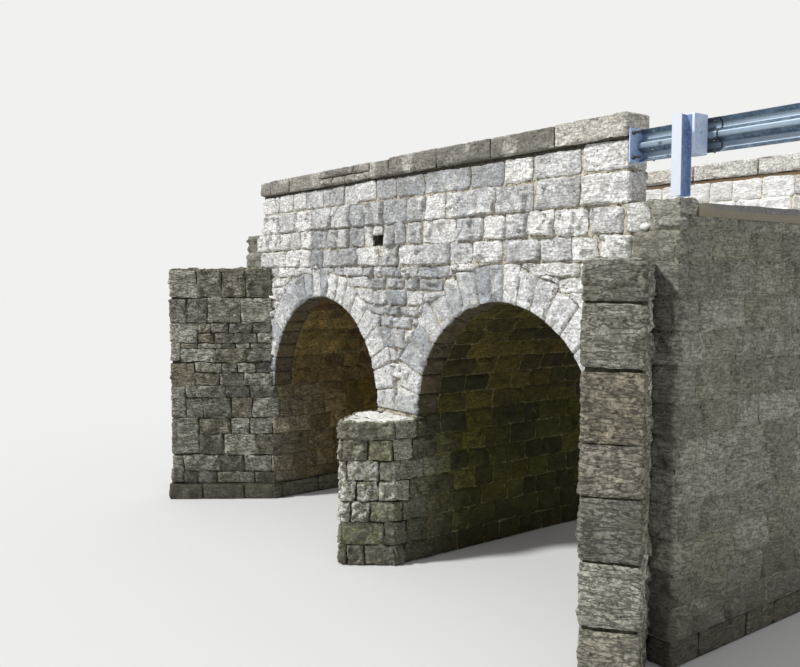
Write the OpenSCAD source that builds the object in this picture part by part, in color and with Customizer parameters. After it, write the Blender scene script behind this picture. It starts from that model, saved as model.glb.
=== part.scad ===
// Small stone road bridge over a creek: two equal half-round arches, a pier with a
// pointed cutwater on each face, flared wing walls, parapets with coping slabs, and a
// steel guardrail that starts at one parapet end.
// +X runs along the bridge to the right as seen from upstream, +Y points downstream,
// +Z is up. The origin is the middle of the pier's base, on the stream bed.

/* [Arches] */
// Clear span of each half-round arch
arch_span = 3000; // [2400:50:3600]
// Height of the springing line above the stream bed
spring_h = 1900; // [1400:50:2600]
// Depth of the ring stones and of the vault, measured along the radius
ring_depth = 430; // [340:10:520]
// Length of the face ring stones into the vault
ring_l = 350; // [200:10:400]
// Height from the top of the rings to the road
cover_h = 570; // [400:10:900]

/* [Pier and cutwaters] */
// Width of the pier between the arches
pier_w = 900; // [800:10:1200]
// Length of the cutwater's straight sides, out from the wall's face
cutwater_stub = 350; // [100:10:600]
// Length of the cutwater's pointed nose beyond its straight sides
cutwater_nose = 590; // [300:10:900]
// Rounding radius of the cutwater's worn tip
cutwater_tip_r = 70; // [20:5:120]
// Drop from the springing line to the cutwater's flat top
cutwater_drop = 30; // [0:5:200]

/* [Abutments and footings] */
// Thickness of each abutment behind the spandrel walls
backing_t = 420; // [300:10:900]
// Width of the walls' foot between a ring and the backing of the abutment
wall_foot = 50; // [20:5:120]
// Height of the footing course above the stream bed
footing_h = 250; // [100:10:400]
// How far the footing stands out in front of the wall on it
footing_out = 50; // [20:5:100]

/* [Walls over the arches] */
// Width of the bridge from face to face
bridge_w = 4100; // [3200:50:7000]
// Thickness of the spandrel walls
spandrel_t = 450; // [410:10:600]
// Thickness of the parapets
parapet_t = 290; // [220:10:360]
// Height of the parapets above the road, without their coping
parapet_h = 630; // [400:10:900]
// Distance from each end of the wall back to the end of the parapet
parapet_back = 170; // [60:10:400]

/* [Coping] */
// Thickness of the coping slabs
coping_h = 245; // [120:5:300]
// Overhang of the coping past both faces of the parapet
coping_over = 50; // [20:5:100]
// Length that the coping slabs come close to
coping_slab_l = 940; // [500:10:1500]
// Width of the mortar joints between coping slabs
coping_joint = 12; // [6:1:20]

/* [Wing walls] */
// Length of each wing wall along its stream side
wing_l = 1700; // [900:50:3000]
// Thickness of the wing walls
wing_t = 500; // [350:10:700]
// Height of the wing walls above the springing line
wing_rise = 1940; // [1000:20:2100]
// Angle between a wing wall and the line across the bridge
wing_flare = 35; // [15:1:45]

/* [Road] */
// Thickness of the road surface
road_t = 150; // [80:10:200]

/* [Guardrail] */
// Height of the rail's top edge above the road
rail_top = 706; // [600:2:800]
// Height of the rail's section
rail_h = 312; // [280:2:340]
// Depth of the rail's corrugations
rail_d = 83; // [70:1:95]
// Width of the rail's flat valley, which lies against the blocks
rail_valley_w = 50; // [30:1:60]
// Width of each of the rail's two flat crests
rail_crest_w = 53; // [30:1:60]
// Distance between the middles of the two crests
rail_crest_pitch = 178; // [160:1:190]
// Distance of the rail's edges from its back
rail_edge_d = 25; // [10:1:50]
// Thickness of the rail's steel
rail_t = 3; // [2:0.5:5]
// Distance from the wall's face to the back of the rail
rail_set = 110; // [90:5:160]
// Distance from the parapet's end to the first post
first_bay = 700; // [500:10:1200]
// Distance between posts
post_pitch = 1905; // [1000:5:2500]
// Number of whole bays after the first post
rail_bays = 1; // [1:1:6]
// Length of the rails' lap past each side of the first post
rail_lap = 160; // [100:5:200]
// Width of the posts' flanges
post_w = 100; // [80:1:130]
// Depth of the posts from flange to flange
post_d = 150; // [120:1:180]
// Thickness of the posts' flanges and web
post_steel = 6; // [4:0.5:10]
// Height of the posts' tops above the rail
post_over = 10; // [0:5:40]
// Width of the spacer blocks
block_w = 150; // [100:5:180]
// Depth of the spacer blocks between post and rail
block_d = 200; // [100:5:240]
// Height of the spacer blocks
block_h = 356; // [300:2:400]
// Width of the end plate across the parapet's end
plate_w = 220; // [200:5:290]
// Height of the end plate
plate_h = 325; // [320:5:400]
// Thickness of the end plate
plate_t = 12; // [8:1:20]
// Diameter of the anchor bolts
anchor_d = 24; // [16:1:30]
// Length of the anchor bolts outside the plate
anchor_l = 90; // [50:5:120]
// Distance of the anchor bolts from the plate's upper and lower edges
anchor_edge = 45; // [30:5:80]
// Distance of the anchor bolts from the wall's face
anchor_set = 45; // [30:5:60]
// Width of the anchor bolts' nuts across their corners
nut_w = 40; // [36:1:48]
// Height of the anchor bolts' nuts
nut_h = 20; // [12:1:26]

/* [Hidden] */
$fn = 96;

// Heights
arch_r = arch_span / 2;
extrados_r = arch_r + ring_depth;
crown_z = spring_h + extrados_r;
road_z = crown_z + cover_h;
road_under_z = road_z - road_t;
parapet_z = road_z + parapet_h;
wing_z = spring_h + wing_rise;
cutwater_z = spring_h - cutwater_drop;

// Places along the bridge, of the right-hand half
arch_x = pier_w / 2 + arch_r;
springing_x = pier_w / 2 + arch_span;
wall_end_x = springing_x + ring_depth + wall_foot;
back_x = wall_end_x + backing_t;
parapet_end_x = wall_end_x - parapet_back;

// Places across the bridge
face_y = bridge_w / 2;
parapet_in_y = face_y - parapet_t;
spandrel_in_y = face_y - spandrel_t;

// Past this length a cut runs clear of what it cuts
past = 10;
// Larger than the whole bridge
far = 4 * bridge_w + 4 * arch_span;

// Coping slabs
coping_l = 2 * parapet_end_x;
coping_count = round(coping_l / coping_slab_l);
slab_l = (coping_l - (coping_count - 1) * coping_joint) / coping_count;

// Wing wall, as points in plan on the right upstream side
wing_along = [sin(wing_flare), -cos(wing_flare)];
wing_across = [cos(wing_flare), sin(wing_flare)];
wing_root = [springing_x, -face_y];
wing_tip = wing_root + wing_l * wing_along;
wing_root_back = wing_root + [wing_t / cos(wing_flare), 0];
wing_tip_back = wing_tip + wing_t * wing_across;

// Guardrail
rail_mid_z = road_z + rail_top - rail_h / 2;
rail_back_y = -face_y + rail_set;
plate_x = parapet_end_x + plate_t;
first_post_x = parapet_end_x + first_bay;
last_post_x = first_post_x + rail_bays * post_pitch;
post_foot_z = road_z;
post_top_z = road_z + rail_top + post_over;
// Gap that lets the lapped rails nest without pressing into each other
nest_gap = 0.3;

// Centre line of one half of the rail's section, from its middle to its edge, each
// point as a depth from the back and a height above the middle
valley_half = rail_valley_w / 2;
crest_low = rail_crest_pitch / 2 - rail_crest_w / 2;
crest_high = rail_crest_pitch / 2 + rail_crest_w / 2;
edge_high = rail_h / 2 - rail_t / 2;
rail_deep = rail_d - rail_t;
half_line = [
    [0, valley_half], [rail_deep, crest_low], [rail_deep, crest_high],
    [rail_edge_d, edge_high]
];
rail_line = concat(
    [for (i = [len(half_line) - 1:-1:0]) [half_line[i][0], -half_line[i][1]]],
    half_line
);
// Slope of the flank between valley and crest sets how far lapped rails stand apart
flank_rise = crest_low - valley_half;
flank_l = norm([rail_deep, flank_rise]);
nest_shift = (rail_t + nest_gap) * flank_l / flank_rise;

// Draws an outline of [x, z] points along Y
module along_y(from_y, to_y) {
    translate([0, to_y, 0])
        rotate([90, 0, 0])
            linear_extrude(to_y - from_y) children();
}

module block(low, high) {
    translate(low) cube(high - low);
}

module right_side() { children(); }
module left_side() { mirror([1, 0, 0]) children(); }
module upstream() { children(); }
module downstream() { mirror([0, 1, 0]) children(); }

// Discs that both rings and vaults fill, as an outline to cut from what stands on them
module both_discs(r) {
    for (s = [-1, 1])
        translate([s * arch_x, spring_h]) circle(r);
}

// Half ring over the right arch, kept on its own half of the pier
module half_ring() {
    intersection() {
        translate([arch_x, spring_h])
            difference() {
                circle(extrados_r);
                circle(arch_r);
            }
        translate([0, spring_h]) square([far, far]);
    }
}

// Footing course under one abutment and its two wing walls
module footing_form() {
    inner_corner = [
        springing_x - footing_out,
        -face_y - footing_out * tan(wing_flare / 2)
    ];
    tip = wing_tip + footing_out * (wing_along - wing_across);
    tip_back = wing_tip_back + footing_out * wing_along;
    half = [inner_corner, tip, tip_back, wing_root_back, [back_x, -face_y]];
    turned = [for (i = [len(half) - 1:-1:0]) [half[i][0], -half[i][1]]];
    linear_extrude(footing_h) polygon(concat(half, turned));
}

// Abutment: a seat for the arch, and the backing that closes the end of the bridge
module abutment_form() {
    outline = [
        [springing_x, footing_h], [back_x, footing_h], [back_x, road_z],
        [wall_end_x, road_z], [wall_end_x, spring_h], [springing_x, spring_h]
    ];
    difference() {
        along_y(-face_y, face_y) polygon(outline);
        block([wall_end_x - past, -parapet_in_y, road_under_z],
              [back_x + past, parapet_in_y, road_z + past]);
    }
}

module cutwater_form() {
    stub_y = -face_y - cutwater_stub;
    tip_y = stub_y - cutwater_nose;
    half_w = pier_w / 2;
    // The tip's arc meets both slanted sides
    nose_a = atan2(half_w, cutwater_nose);
    arc_y = tip_y + cutwater_tip_r / sin(nose_a);
    arc_steps = 8;
    arc_a = 90 - nose_a;
    arc = [for (i = [0:arc_steps])
        let (a = -90 - arc_a + 2 * arc_a * i / arc_steps)
        [cutwater_tip_r * cos(a), arc_y + cutwater_tip_r * sin(a)]];
    linear_extrude(cutwater_z)
        polygon(concat([[-half_w, -face_y], [-half_w, stub_y]], arc,
                       [[half_w, stub_y], [half_w, -face_y]]));
}

module vault_form() {
    inner_y = face_y - ring_l;
    along_y(-inner_y, inner_y) half_ring();
}

module ring_form() {
    along_y(-face_y, -face_y + ring_l) half_ring();
}

// Spandrel wall with a step in its top where the road's edge lies
module spandrel_form() {
    difference() {
        along_y(-face_y, -spandrel_in_y)
            difference() {
                translate([-wall_end_x, spring_h])
                    square([2 * wall_end_x, road_z - spring_h]);
                both_discs(extrados_r);
            }
        block([-wall_end_x - past, -parapet_in_y, road_under_z],
              [wall_end_x + past, 0, road_z + past]);
    }
}

module parapet_form() {
    block([-parapet_end_x, -face_y, road_z], [parapet_end_x, -parapet_in_y, parapet_z]);
}

module coping_form() {
    for (i = [0:coping_count - 1])
        translate([-parapet_end_x + i * (slab_l + coping_joint), -face_y - coping_over, parapet_z])
            cube([slab_l, parapet_t + 2 * coping_over, coping_h]);
}

module wing_form() {
    translate([0, 0, footing_h])
        linear_extrude(wing_z - footing_h)
            polygon([wing_root, wing_tip, wing_tip_back, wing_root_back]);
}

// Points of a sheet on one side of a centre line, at half the sheet's thickness
function side_points(line, half_t) = [for (i = [0:len(line) - 1])
    let (
        before = line[i] - line[max(i - 1, 0)],
        after = line[min(i + 1, len(line) - 1)] - line[i],
        u = i == 0 ? after / norm(after) : before / norm(before),
        v = i == len(line) - 1 ? u : after / norm(after),
        bend = u + v,
        normal = [-bend[1], bend[0]] / norm(bend)
    )
    line[i] + normal * half_t / (normal * [-u[1], u[0]])];

// One length of rail; step is how far it stands off the posts' blocks
module rail_form(from_x, to_x, step) {
    near_side = side_points(rail_line, rail_t / 2);
    other = side_points(rail_line, -rail_t / 2);
    other_side = [for (i = [len(other) - 1:-1:0]) other[i]];
    translate([from_x, rail_back_y + rail_t / 2 + step, rail_mid_z])
        rotate([90, 0, 90])
            linear_extrude(to_x - from_x) polygon(concat(near_side, other_side));
}

// Posts after the first stand back with the rail that laps over the first length
function post_step(i) = i == 0 ? 0 : nest_shift;

module post_form() {
    web_h = post_d - 2 * post_steel;
    translate([0, 0, post_foot_z])
        linear_extrude(post_top_z - post_foot_z)
            polygon([
                [-post_w / 2, 0], [post_w / 2, 0], [post_w / 2, post_steel],
                [post_steel / 2, post_steel], [post_steel / 2, post_steel + web_h],
                [post_w / 2, post_steel + web_h], [post_w / 2, post_d],
                [-post_w / 2, post_d], [-post_w / 2, post_steel + web_h],
                [-post_steel / 2, post_steel + web_h], [-post_steel / 2, post_steel],
                [-post_w / 2, post_steel]
            ]);
}

module left_footing() { color("#6f6d5f") left_side() footing_form(); }
module right_footing() { color("#6f6d5f") right_side() footing_form(); }
module left_abutment() { color("#7c7a68") left_side() abutment_form(); }
module right_abutment() { color("#7c7a68") right_side() abutment_form(); }

module pier() {
    color("#7c7a68")
        block([-pier_w / 2, -face_y, 0], [pier_w / 2, face_y, spring_h]);
}

module upstream_cutwater() { color("#8f8d7b") upstream() cutwater_form(); }
module downstream_cutwater() { color("#8f8d7b") downstream() cutwater_form(); }
module left_vault() { color("#6b6146") left_side() vault_form(); }
module right_vault() { color("#6b6146") right_side() vault_form(); }
module upstream_left_ring() { color("#d5d6d8") upstream() left_side() ring_form(); }
module upstream_right_ring() { color("#d5d6d8") upstream() right_side() ring_form(); }
module downstream_left_ring() { color("#d5d6d8") downstream() left_side() ring_form(); }
module downstream_right_ring() { color("#d5d6d8") downstream() right_side() ring_form(); }
module upstream_spandrel_wall() { color("#c6c5bf") upstream() spandrel_form(); }
module downstream_spandrel_wall() { color("#c6c5bf") downstream() spandrel_form(); }
module upstream_parapet() { color("#cfcdc6") upstream() parapet_form(); }
module downstream_parapet() { color("#cfcdc6") downstream() parapet_form(); }
module upstream_coping() { color("#a39c92") upstream() coping_form(); }
module downstream_coping() { color("#a39c92") downstream() coping_form(); }
module upstream_left_wing() { color("#8a8874") upstream() left_side() wing_form(); }
module upstream_right_wing() { color("#8a8874") upstream() right_side() wing_form(); }
module downstream_left_wing() { color("#8a8874") downstream() left_side() wing_form(); }
module downstream_right_wing() { color("#8a8874") downstream() right_side() wing_form(); }

// Rubble and earth between the spandrel walls, over the vaults
module core_fill() {
    color("#6a5f4c")
        along_y(-spandrel_in_y, spandrel_in_y)
            difference() {
                translate([-wall_end_x, spring_h])
                    square([2 * wall_end_x, road_under_z - spring_h]);
                both_discs(extrados_r);
            }
}

module road_surface() {
    color("#57585a")
        block([-back_x, -parapet_in_y, road_under_z], [back_x, parapet_in_y, road_z]);
}

module rail_end_plate() {
    color("#8fa0b4")
        block([parapet_end_x, -face_y, rail_mid_z - plate_h / 2],
              [plate_x, -face_y + plate_w, rail_mid_z + plate_h / 2]);
}

module rail_anchor_bolts() {
    reach_z = plate_h / 2 - anchor_edge;
    color("#4d545c")
        for (s = [-1, 1])
            translate([plate_x, -face_y + anchor_set, rail_mid_z + s * reach_z])
                rotate([0, 90, 0]) {
                    cylinder(d = anchor_d, h = anchor_l);
                    cylinder(d = nut_w, h = nut_h, $fn = 6);
                }
}

module rail_near_length() {
    color("#7f8c9a") rail_form(plate_x, first_post_x + rail_lap, 0);
}

module rail_far_length() {
    color("#7f8c9a") rail_form(first_post_x - rail_lap, last_post_x + rail_lap, nest_shift);
}

module rail_posts() {
    color("#a9b6c6")
        for (i = [0:rail_bays])
            translate([first_post_x + i * post_pitch, rail_back_y - block_d - post_d + post_step(i), 0])
                post_form();
}

module rail_blocks() {
    color("#b4bcc6")
        for (i = [0:rail_bays])
            translate([first_post_x + i * post_pitch - block_w / 2,
                       rail_back_y - block_d + post_step(i), rail_mid_z - block_h / 2])
                cube([block_w, block_d, block_h]);
}

left_footing();
right_footing();
left_abutment();
right_abutment();
pier();
upstream_cutwater();
downstream_cutwater();
left_vault();
right_vault();
upstream_left_ring();
upstream_right_ring();
downstream_left_ring();
downstream_right_ring();
upstream_spandrel_wall();
downstream_spandrel_wall();
upstream_parapet();
downstream_parapet();
upstream_coping();
downstream_coping();
upstream_left_wing();
upstream_right_wing();
downstream_left_wing();
downstream_right_wing();
core_fill();
road_surface();
rail_end_plate();
rail_anchor_bolts();
rail_near_length();
rail_far_length();
rail_posts();
rail_blocks();
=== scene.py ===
import math
import random
import bpy
import bmesh
import numpy as np
from mathutils import Matrix, Vector, noise


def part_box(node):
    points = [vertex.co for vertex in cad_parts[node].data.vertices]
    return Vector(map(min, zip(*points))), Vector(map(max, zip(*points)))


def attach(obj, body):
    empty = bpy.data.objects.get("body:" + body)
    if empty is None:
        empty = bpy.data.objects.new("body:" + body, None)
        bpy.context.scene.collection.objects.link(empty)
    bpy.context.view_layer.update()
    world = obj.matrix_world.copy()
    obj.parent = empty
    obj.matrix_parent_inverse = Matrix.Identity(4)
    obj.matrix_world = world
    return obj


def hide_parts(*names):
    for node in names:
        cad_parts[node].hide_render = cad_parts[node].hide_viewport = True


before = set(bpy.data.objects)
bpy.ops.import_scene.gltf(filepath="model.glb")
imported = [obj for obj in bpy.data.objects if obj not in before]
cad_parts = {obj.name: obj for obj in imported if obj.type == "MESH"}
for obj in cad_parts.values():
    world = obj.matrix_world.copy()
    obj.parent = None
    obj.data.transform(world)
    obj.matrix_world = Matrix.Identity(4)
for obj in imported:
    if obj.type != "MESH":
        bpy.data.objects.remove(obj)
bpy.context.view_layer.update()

# Stone road bridge of two half-round arches over a creek, with a steel guardrail at one end.
# Sizes are in metres, in the frame's own axes: X along the bridge, Y downstream, Z up.
bridge = {
    "archX": 1.95,        # middle of each arch
    "archR": 1.5,         # intrados
    "ringR": 1.93,        # extrados
    "ringDeep": 0.35,     # ring stones, into the vault
    "springZ": 1.9,
    "faceY": 2.05,        # both faces of the walls
    "roadZ": 4.4,
    "roadUnder": 4.25,
    "parapetEnd": 3.76,
    "parapetIn": 1.76,    # road side of the parapets
    "wallEnd": 3.93,
    "backX": 4.35,
    "pierHalf": 0.45,
    "abutmentX": 3.45,
    "footingTop": 0.25,
    "wingTop": 3.84,
    "cutwaterTop": 1.87,
    "shoulderY": 2.4,     # where a cutwater's straight sides end
    "noseY": 2.99,
}
spring = bridge["springZ"]
scene = bpy.context.scene
scene.view_settings.view_transform = "Standard"

# Camera, light and floor
view = {"spot": (9.003, -8.667, 3.672), "yaw": 36.566, "pitch": 3.716, "lens": 37.88}
studio = {
    "skyLevel": 0.58,      # light from all round
    "keyLevel": 3.3,       # soft key from the upper left of the near face
    "keyAngle": 7,         # degrees across, for soft shadows
    "keyFrom": (-0.25, -0.66, 0.71),
    "backdrop": "#f1f1ef",
    "floor": "#d4d4d2",    # as bright as the backdrop once it is lit, so that no horizon shows
}


def linear(hexColour):
    # sRGB hex to the linear colour that the shaders use
    parts = [int(hexColour[i:i + 2], 16) / 255 for i in (1, 3, 5)]
    return tuple(c / 12.92 if c <= 0.04045 else ((c + 0.055) / 1.055) ** 2.4 for c in parts) + (1.0,)


def addNode(tree, kind, settings=None, links=None):
    # settings go to a socket of that name or number, or else to the node itself
    node = tree.nodes.new("ShaderNode" + kind)
    for key, value in (settings or {}).items():
        if isinstance(key, int) or key in node.inputs:
            node.inputs[key].default_value = value
        else:
            setattr(node, key, value)
    for key, source in (links or {}).items():
        tree.links.new(source, node.inputs[key])
    return node


def aimCamera():
    yaw, pitch = math.radians(view["yaw"]), math.radians(view["pitch"])
    forward = Vector((-math.cos(yaw) * math.cos(pitch), math.sin(yaw) * math.cos(pitch), -math.sin(pitch)))
    camera = bpy.data.objects.new("photoCamera", bpy.data.cameras.new("photoCamera"))
    camera.data.lens = view["lens"]
    camera.data.sensor_width = 36
    camera.data.sensor_fit = "HORIZONTAL"
    camera.data.clip_end = 400
    camera.location = view["spot"]
    camera.rotation_euler = forward.to_track_quat("-Z", "Y").to_euler()
    scene.collection.objects.link(camera)
    scene.camera = camera


def lightStudio():
    key = bpy.data.objects.new("softKey", bpy.data.lights.new("softKey", "SUN"))
    key.data.energy = studio["keyLevel"]
    key.data.angle = math.radians(studio["keyAngle"])
    key.rotation_euler = (-Vector(studio["keyFrom"])).to_track_quat("-Z", "Y").to_euler()
    scene.collection.objects.link(key)
    world = bpy.data.worlds.new("studio")
    world.use_nodes = True
    scene.world = world
    tree = world.node_tree
    tree.nodes.clear()
    rays = addNode(tree, "LightPath")
    seen = rays.outputs["Is Camera Ray"]
    for ray in ("Is Glossy Ray", "Is Transmission Ray"):
        seen = addNode(tree, "Math", {"operation": "MAXIMUM"}, {0: seen, 1: rays.outputs[ray]}).outputs[0]
    lit = addNode(tree, "Background", {"Color": (1, 1, 1, 1), "Strength": studio["skyLevel"]})
    shown = addNode(tree, "Background", {"Color": linear(studio["backdrop"]), "Strength": 1.0})
    mixed = addNode(tree, "MixShader", None, {0: seen, 1: lit.outputs[0], 2: shown.outputs[0]})
    addNode(tree, "OutputWorld", None, {"Surface": mixed.outputs[0]})


def newMaterial(name):
    material = bpy.data.materials.new(name)
    material.use_nodes = True
    material.node_tree.nodes.clear()
    return material, material.node_tree


def layFloor():
    ground = bmesh.new()
    bmesh.ops.create_grid(ground, x_segments=2, y_segments=2, size=180)
    bmesh.ops.translate(ground, vec=(0, 0, -0.004), verts=ground.verts[:])
    mesh = bpy.data.meshes.new("studioFloor")
    ground.to_mesh(mesh)
    ground.free()
    floor = bpy.data.objects.new("studioFloor", mesh)
    scene.collection.objects.link(floor)
    paper, tree = newMaterial("mattPaper")
    shader = addNode(tree, "BsdfPrincipled", {"Base Color": linear(studio["floor"]), "Roughness": 0.95,
                                              "Specular IOR Level": 0.1})
    addNode(tree, "OutputMaterial", None, {"Surface": shader.outputs[0]})
    mesh.materials.append(paper)


aimCamera()
lightStudio()
layFloor()
print("camera, light and floor are set")

# Stone: the noise fields that its looks are mixed from, each with its size in millimetres, detail,
# roughness and what it follows
stoneClouds = {
    "patch": (170, 6, 0.55, "block"),     # weathering
    # crystals and crusts of 2 to 10 mm, drawn coarser so that they show
    "mottle": (30, 6, 0.66, "block"),
    "strata": (42, 6, 0.54, "beds"),      # the rock's own layers
    "run": (560, 8, 0.68, "wall"),        # damp and soot, across the joints
    "cluster": (110, 4, 0.60, "block"),   # where pits gather
    "crust": (80, 8, 0.78, "block"),      # lichen and moss
}


def stoneMaterial(name, look):
    # Dolomitic limestone, split by hand: matt, each block its own shade, flaked, layered and pitted
    material, tree = newMaterial(name)
    wall = addNode(tree, "TexCoord").outputs["Object"]
    tone = addNode(tree, "Attribute", {"attribute_name": "stoneTone"}).outputs["Vector"]
    facing = addNode(tree, "NewGeometry").outputs["True Normal"]
    # every block has its own stretch of each pattern
    block = addNode(tree, "VectorMath", {"operation": "MULTIPLY_ADD", 1: (13.0, 17.0, 19.0)},
                    {0: tone, 2: wall}).outputs[0]
    beds = addNode(tree, "VectorMath", {"operation": "MULTIPLY", 1: (0.25, 0.25, 1.0)},
                   {0: block}).outputs[0]
    clouds = {}
    for key, (size, detail, rough, source) in stoneClouds.items():
        clouds[key] = addNode(tree, "TexNoise", {"Scale": 1000 / size, "Detail": detail,
                                                 "Roughness": rough},
                              {"Vector": {"block": block, "beds": beds, "wall": wall}[source]}).outputs
    field = {key: cloud["Fac"] for key, cloud in clouds.items()}
    place = addNode(tree, "SeparateXYZ", None, {0: wall}).outputs
    field["shade"], field["tint"], field["growth"] = addNode(tree, "SeparateXYZ", None, {0: tone}).outputs
    field["up"] = addNode(tree, "SeparateXYZ", None, {0: facing}).outputs[2]
    field["rim"] = addNode(tree, "Attribute", {"attribute_name": "stoneEdge"}).outputs["Fac"]
    field["across"] = addNode(tree, "Math", {"operation": "ABSOLUTE"}, {0: place[1]}).outputs[0]
    field["height"] = addNode(tree, "Math", {"operation": "MULTIPLY_ADD", 1: -look["sway"]},
                              {0: field["run"], 2: place[2]}).outputs[0]
    # ledges: lines some 5 mm wide where one layer broke off over the next, painted dark as the shade under
    # each step
    ledge = addNode(tree, "Math", {"operation": "SUBTRACT", 1: 0.5}, {0: field["strata"]}).outputs[0]
    ledge = addNode(tree, "Math", {"operation": "ABSOLUTE"}, {0: ledge}).outputs[0]
    field["ledge"] = addNode(tree, "MapRange", {"From Min": 0.045, "From Max": 0.008},
                             {"Value": ledge}).outputs[0]
    # pits left where soft grains dissolved, 10 to 20 mm wide, in clusters, painted dark as the shade inside
    # them
    hollow = addNode(tree, "TexVoronoi", {"Scale": 1000 / look["pitPitch"]},
                     {"Vector": block}).outputs["Distance"]
    gates = {}
    for key, source, start, end in (
            ("cluster", field["cluster"], 0.54, 0.61), ("hollow", hollow, 0.27, 0.17),
            ("lichen", field["growth"], 0.5, 0.7), ("moss", field["growth"], -0.5, -0.7),
            ("dust", field["mottle"], 0.35, 0.6), ("dull", field["shade"], 1.0, 0.4)):
        gates[key] = addNode(tree, "MapRange", {"From Min": start, "From Max": end},
                             {"Value": source}).outputs[0]
    field["pit"] = addNode(tree, "Math", {"operation": "MULTIPLY"},
                           {0: gates["cluster"], 1: gates["hollow"]}).outputs[0]
    colour = addNode(tree, "Mix", {"data_type": "RGBA", 6: linear(look["dark"]), 7: linear(look["light"])},
                     {0: field["shade"]}).outputs[2]
    layers = [   # field, where it starts and is full, its most, its colour, what gates it
        ("tint", look["tintFrom"], 1.0, 0.85, look["tint"], None, "MIX"),
        # the palest blocks, among them those painted as sunlit, are cleaner
        ("patch", 0.50, 0.58, look["patches"], look["patch"], "dull", "MIX"),
        ("mottle", 0.52, 0.64, look["mottles"], look["mottle"], "dull", "MIX"),
        ("strata", 0.54, 0.64, look["layered"], look["layer"], "dull", "MIX"),
        ("run", 0.50, 0.64, look["runs"], look["run"], None, "MIX"),
        # lime has bleached whole stretches
        ("run", 0.48, 0.41, look["washes"], look["wash"], None, "MIX"),
        ("ledge", 0.0, 1.0, look["ledges"], look["pit"], None, "MIX"),
    ]
    layers += [("height", *band, None, "MIX") for band in look["bands"]]
    layers += [
        # painted light: faces that look up are painted lighter, as lit from above
        ("up", 0.70, 0.92, look["tops"], look["top"], None, "MIX"),
        ("pit", 0.0, 1.0, look["pits"], look["pit"], None, "MIX"),
        # darker into the arch: damp and soot, and painted shade where the vault shuts out the light
        ("across", look["mouth"], look["inside"], look["insides"], look["sootAndShade"], None, "MULTIPLY"),
        ("crust", 0.49, 0.53, 1.0, look["lichen"], "lichen", "MIX"),
        ("crust", 0.46, 0.58, 0.55, look["moss"], "moss", "MIX"),
        # darker along the stones' edges, broken up by the mottle: dirt, and painted shade at the joints
        ("rim", 0.0, 1.0, look["rims"], look["rim"], "dust", "MIX"),
    ]
    for key, start, end, most, paint, gate, way in layers:
        if not most:
            continue
        share = addNode(tree, "MapRange", {"From Min": start, "From Max": end, "To Max": most},
                        {"Value": field[key]}).outputs[0]
        if gate:
            share = addNode(tree, "Math", {"operation": "MULTIPLY"}, {0: share, 1: gates[gate]}).outputs[0]
        colour = addNode(tree, "Mix", {"data_type": "RGBA", "blend_type": way, 7: linear(paint)},
                         {0: share, 6: colour}).outputs[2]
    # relief in metres: swelling, grit, layers and pits, then flakes whose small planes lean every way
    relief = addNode(tree, "Math", {"operation": "MULTIPLY", 1: look["swells"] / 1000}, {0: field["patch"]})
    relief = relief.outputs[0]
    for key, deep in (("mottle", look["grit"]), ("strata", look["steps"]), ("pit", -6),
                      ("ledge", -look["cut"])):
        relief = addNode(tree, "Math", {"operation": "MULTIPLY_ADD", 1: deep / 1000},
                         {0: field[key], 2: relief}).outputs[0]
    # the flakes' edges wander with the smoothest field, so that their planes stay flat
    bent = addNode(tree, "VectorMath", {"operation": "MULTIPLY_ADD", 1: (0.06, 0.06, 0.06)},
                   {0: clouds["patch"]["Color"], 2: block}).outputs[0]
    for size, lean in look["flakes"]:
        cell = addNode(tree, "TexVoronoi", {"Scale": 1000 / size}, {"Vector": bent}).outputs
        away = addNode(tree, "VectorMath", {"operation": "SUBTRACT"}, {0: bent, 1: cell["Position"]})
        turn = addNode(tree, "VectorMath",
                       {"operation": "MULTIPLY_ADD", 1: (2 * lean,) * 3, 2: (-lean,) * 3}, {0: cell["Color"]})
        flake = addNode(tree, "VectorMath", {"operation": "DOT_PRODUCT"},
                        {0: away.outputs[0], 1: turn.outputs[0]})
        relief = addNode(tree, "Math", {"operation": "ADD"},
                         {0: relief, 1: flake.outputs["Value"]}).outputs[0]
    bump = addNode(tree, "Bump", {"Strength": 1.0, "Distance": 1.0}, {"Height": relief})
    rough = addNode(tree, "MapRange", {"From Min": 0.3, "From Max": 0.7, "To Min": 0.8, "To Max": 0.97},
                    {"Value": field["mottle"]})
    shader = addNode(tree, "BsdfPrincipled", {"IOR": 1.55, "Specular IOR Level": 0.3},
                     {"Base Color": colour, "Normal": bump.outputs[0], "Roughness": rough.outputs[0]})
    addNode(tree, "OutputMaterial", None, {"Surface": shader.outputs[0]})
    return material


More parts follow.
